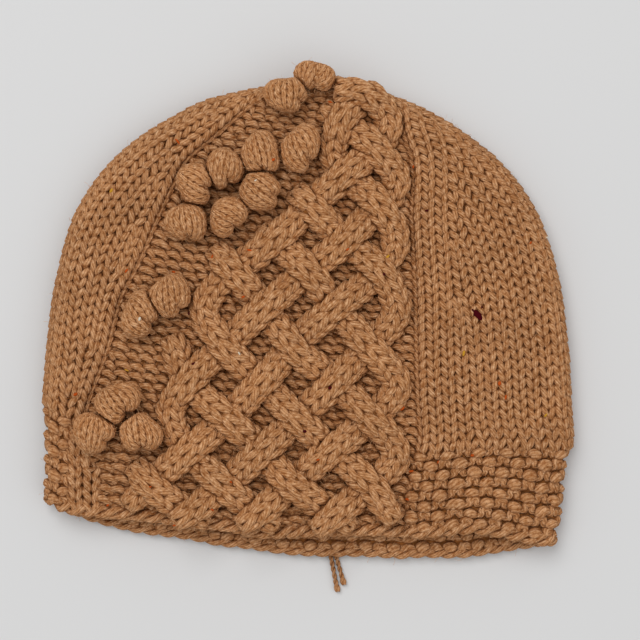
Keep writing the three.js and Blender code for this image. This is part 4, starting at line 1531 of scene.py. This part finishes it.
def fleck_material():
    material, add, shader = new_material(
        "dyed_wool_flecks", {"Roughness": 0.9, "Specular IOR Level": 0.05})
    cloud = noise(add, object_place(add), 1500, 3)
    tone = add("ShaderNodeMapRange", {"Value": cloud, "To Min": 0.55, "To Max": 1.35})
    dye = add("ShaderNodeAttribute", attribute_name="dye")
    mix = add("ShaderNodeVectorMath", operation="SCALE")
    plug(mix, {0: dye.outputs["Color"], "Scale": tone.outputs["Result"]})
    plug(shader, {"Base Color": mix.outputs[0], "Normal": bump(add, cloud, 0.2 * MM)})
    return material


def knitted_pieces():
    return [thing for thing in bpy.data.objects
            if thing.type == "MESH" and (thing.name.endswith("_knit") or thing.name == "cast_on_edge")]


def joined_wool():
    """Vertices and faces of all the knitting in one list, in metres."""
    points, faces, start = [], [], 0
    for thing in knitted_pieces():
        mesh = thing.data
        co = np.empty(len(mesh.vertices) * 3, np.float32)
        mesh.vertices.foreach_get("co", co)
        mesh.calc_loop_triangles()
        tri = np.empty(len(mesh.loop_triangles) * 3, np.int32)
        mesh.loop_triangles.foreach_get("vertices", tri)
        points.append(co.reshape(-1, 3))
        faces.append(tri.reshape(-1, 3) + start)
        start += len(mesh.vertices)
    return np.vstack(points), np.vstack(faces)


# The shape of a fleck: its sides and rings, how rough and how proud it is, where it feels the wool
# along its length, and how far it turns upright
FLECK_SIDES, FLECK_RINGS = 8, 5
FLECK_ROUGH = 0.14
FLECK_PROUD = 0.1
FLECK_SPOTS = (-0.6, -0.3, 0, 0.3, 0.6)
FLECK_UPRIGHT = 1.2
ABOVE_THE_HAT = 100


class HAT_OT_flecks(bpy.types.Operator):
    """Rolls the small dyed flecks of the tweed into the surface of the wool"""
    bl_idname = "hat.flecks"
    bl_label = "Tweed flecks"

    def execute(self, context):
        size = context.scene.hat_flecks.size
        points, faces = joined_wool()
        top = BVHTree.FromPolygons(points.tolist(), faces.tolist())
        rng = np.random.default_rng(FLECKS_SEED)
        verts, quads, dyes = [], [], []
        for x, y, length, width, angle, dye in [(*fleck, dye) for dye in FLECKS for fleck in FLECKS[dye]]:
            turn = math.radians(angle)
            along = Vector((math.cos(turn), math.sin(turn), 0))
            heights, slopes = [], []
            for share in FLECK_SPOTS:
                spot = Vector((x, y, ABOVE_THE_HAT)) + along * share * length / 2
                hit, normal, _, _ = top.ray_cast(spot * MM, Vector((0, 0, -1)))
                if hit is None:
                    raise RuntimeError(f"no wool under the fleck at {x}, {y}")
                heights.append(hit.z / MM)
                slopes.append(normal)
            normal = (sum(slopes, Vector()) / len(slopes) + Vector((0, 0, FLECK_UPRIGHT))).normalized()
            middle = Vector((x, y, 0.5 * (max(heights) + sum(heights) / len(heights))))
            along = (along - along.dot(normal) * normal).normalized()
            across = normal.cross(along)
            start = len(verts)
            for j in range(FLECK_RINGS + 1):
                polar = math.pi * j / FLECK_RINGS
                for k in range(FLECK_SIDES):
                    spin = TURN * k / FLECK_SIDES
                    rough = 1 + rng.normal(0, FLECK_ROUGH)
                    offset = (along * math.cos(polar) * length / 2
                              + across * math.sin(polar) * math.cos(spin) * width / 2 * rough
                              + normal * math.sin(polar) * math.sin(spin) * width / 4 * rough)
                    verts.append(middle + offset * size + normal * FLECK_PROUD)
                    dyes.append((*dye, 1.0))
            quads += ring_faces(FLECK_RINGS + 1, FLECK_SIDES, start)
        piece = mesh_piece("tweed_flecks", verts, quads, fleck_material())
        colours = piece.data.color_attributes.new("dye", "FLOAT_COLOR", "POINT")
        colours.data.foreach_set("color", np.array(dyes, np.float32).ravel())
        fit(piece, "knit")
        return {"FINISHED"}


class HAT_OT_fibres(bpy.types.Operator):
    """Raises the loose fibres that stand out of the wool"""
    bl_idname = "hat.fibres"
    bl_label = "Loose fibres"

    def execute(self, context):
        settings = context.scene.hat_flecks
        points, faces = joined_wool()
        mesh = bpy.data.meshes.new("loose_fibres_ground")
        mesh.vertices.add(len(points))
        mesh.vertices.foreach_set("co", points.ravel())
        mesh.loops.add(faces.size)
        mesh.loops.foreach_set("vertex_index", faces.ravel())
        mesh.polygons.add(len(faces))
        mesh.polygons.foreach_set("loop_start", np.arange(0, faces.size, 3, dtype=np.int32))
        mesh.update(calc_edges=True)
        corners = points[faces]
        sides = np.cross(corners[:, 1] - corners[:, 0], corners[:, 2] - corners[:, 0])
        wool_area = float(np.linalg.norm(sides, axis=1).sum() / 2)
        carrier = bpy.data.objects.new("loose_fibres_ground", mesh)
        context.scene.collection.objects.link(carrier)
        tree = shared_tree("Loose fibres", loose_fibre_tree)
        modifier = carrier.modifiers.new("Fibres", "NODES")
        modifier.node_group = tree
        modifier[input_id(tree, "Density")] = settings.fibres / wool_area
        modifier[input_id(tree, "Fibre length")] = float(settings.fibre_length)
        modifier[input_id(tree, "Fibre radius")] = FIBRE_RADIUS
        modifier[input_id(tree, "Seed")] = FIBRE_SEED
        modifier[input_id(tree, "Wool")] = fibre_material()
        piece = plain_mesh("loose_fibres", carrier)
        fit(piece, "knit")
        return {"FINISHED"}


# The two plies of a yarn end, in millimetres: their thickness, how far apart they lie, the length of
# their twist, and how far from the tip they fray and by how much
END_PLY = 1.2
END_APART = 0.48
END_TWIST = 5.5
FRAY_FROM, FRAY_TO = 4.5, 1.2
FRAY = 0.55


class HAT_OT_yarn_ends(bpy.types.Operator):
    """Lays out the two loose strands of yarn at the hem"""
    bl_idname = "hat.yarn_ends"
    bl_label = "Yarn ends"

    def execute(self, context):
        wool = wool_material("tweed_wool_strand", KNIT_TINT)
        for name, points in YARN_ENDS.items():
            line = centripetal(np.array(points), 16)
            along, tangents = lengths_along(line), directions_along(line)
            side = np.column_stack([-tangents[:, 1], tangents[:, 0], 0 * along])
            up = np.array([0, 0, 1])
            fray = 1.0 + FRAY * smooth(along[-1] - FRAY_FROM, along[-1] - FRAY_TO, along)
            courses = []
            for start in (0, math.pi):
                angle = (along / END_TWIST * TURN + start)[:, None]
                courses.append((line + END_APART * (side * np.cos(angle) + up * np.sin(angle)), fray))
            piece = yarn_piece(name + "_plies", courses, END_PLY * MM, END_SIDES, wool)
            fit(piece, "yarn", name)
        return {"FINISHED"}


class HAT_PT_panel(bpy.types.Panel):
    """Lists the hat's settings and its pieces"""
    bl_idname = "HAT_PT_panel"
    bl_label = "Knitted Hat"
    bl_space_type = "VIEW_3D"
    bl_region_type = "UI"
    bl_category = "Knitted Hat"

    def draw(self, context):
        for group in SETTINGS:
            box = self.layout.box()
            box.label(text=group.removeprefix("hat_").capitalize())
            settings = getattr(context.scene, group)
            for field in settings.__annotations__:
                box.prop(settings, field)
        column = self.layout.column(align=True)
        for operator in OPERATORS:
            column.operator(operator.bl_idname)


SETTINGS = {
    "hat_knit": HatKnit,
    "hat_cables": HatCables,
    "hat_bobbles": HatBobbles,
    "hat_flecks": HatFlecks,
    "hat_wool": HatWool,
    "hat_stage": HatStage,
}
OPERATORS = (
    HAT_OT_stage,
    HAT_OT_backing,
    HAT_OT_rounds,
    HAT_OT_hem,
    HAT_OT_cables,
    HAT_OT_bobbles,
    HAT_OT_yarn_ends,
    HAT_OT_flecks,
    HAT_OT_fibres,
)


def register():
    for cls in (*SETTINGS.values(), *OPERATORS, HAT_PT_panel):
        bpy.utils.register_class(cls)
    for name, cls in SETTINGS.items():
        setattr(bpy.types.Scene, name, bpy.props.PointerProperty(type=cls))


def unregister():
    for name in SETTINGS:
        delattr(bpy.types.Scene, name)
    for cls in (HAT_PT_panel, *reversed(OPERATORS), *SETTINGS.values()):
        bpy.utils.unregister_class(cls)


def main():
    register()
    bpy.ops.hat.stage()
    bpy.ops.hat.backing()
    bpy.ops.hat.rounds()
    bpy.ops.hat.hem()
    bpy.ops.hat.cables()
    bpy.ops.hat.bobbles()
    bpy.ops.hat.yarn_ends()
    bpy.ops.hat.flecks()
    bpy.ops.hat.fibres()


if __name__ == "__main__":
    main()
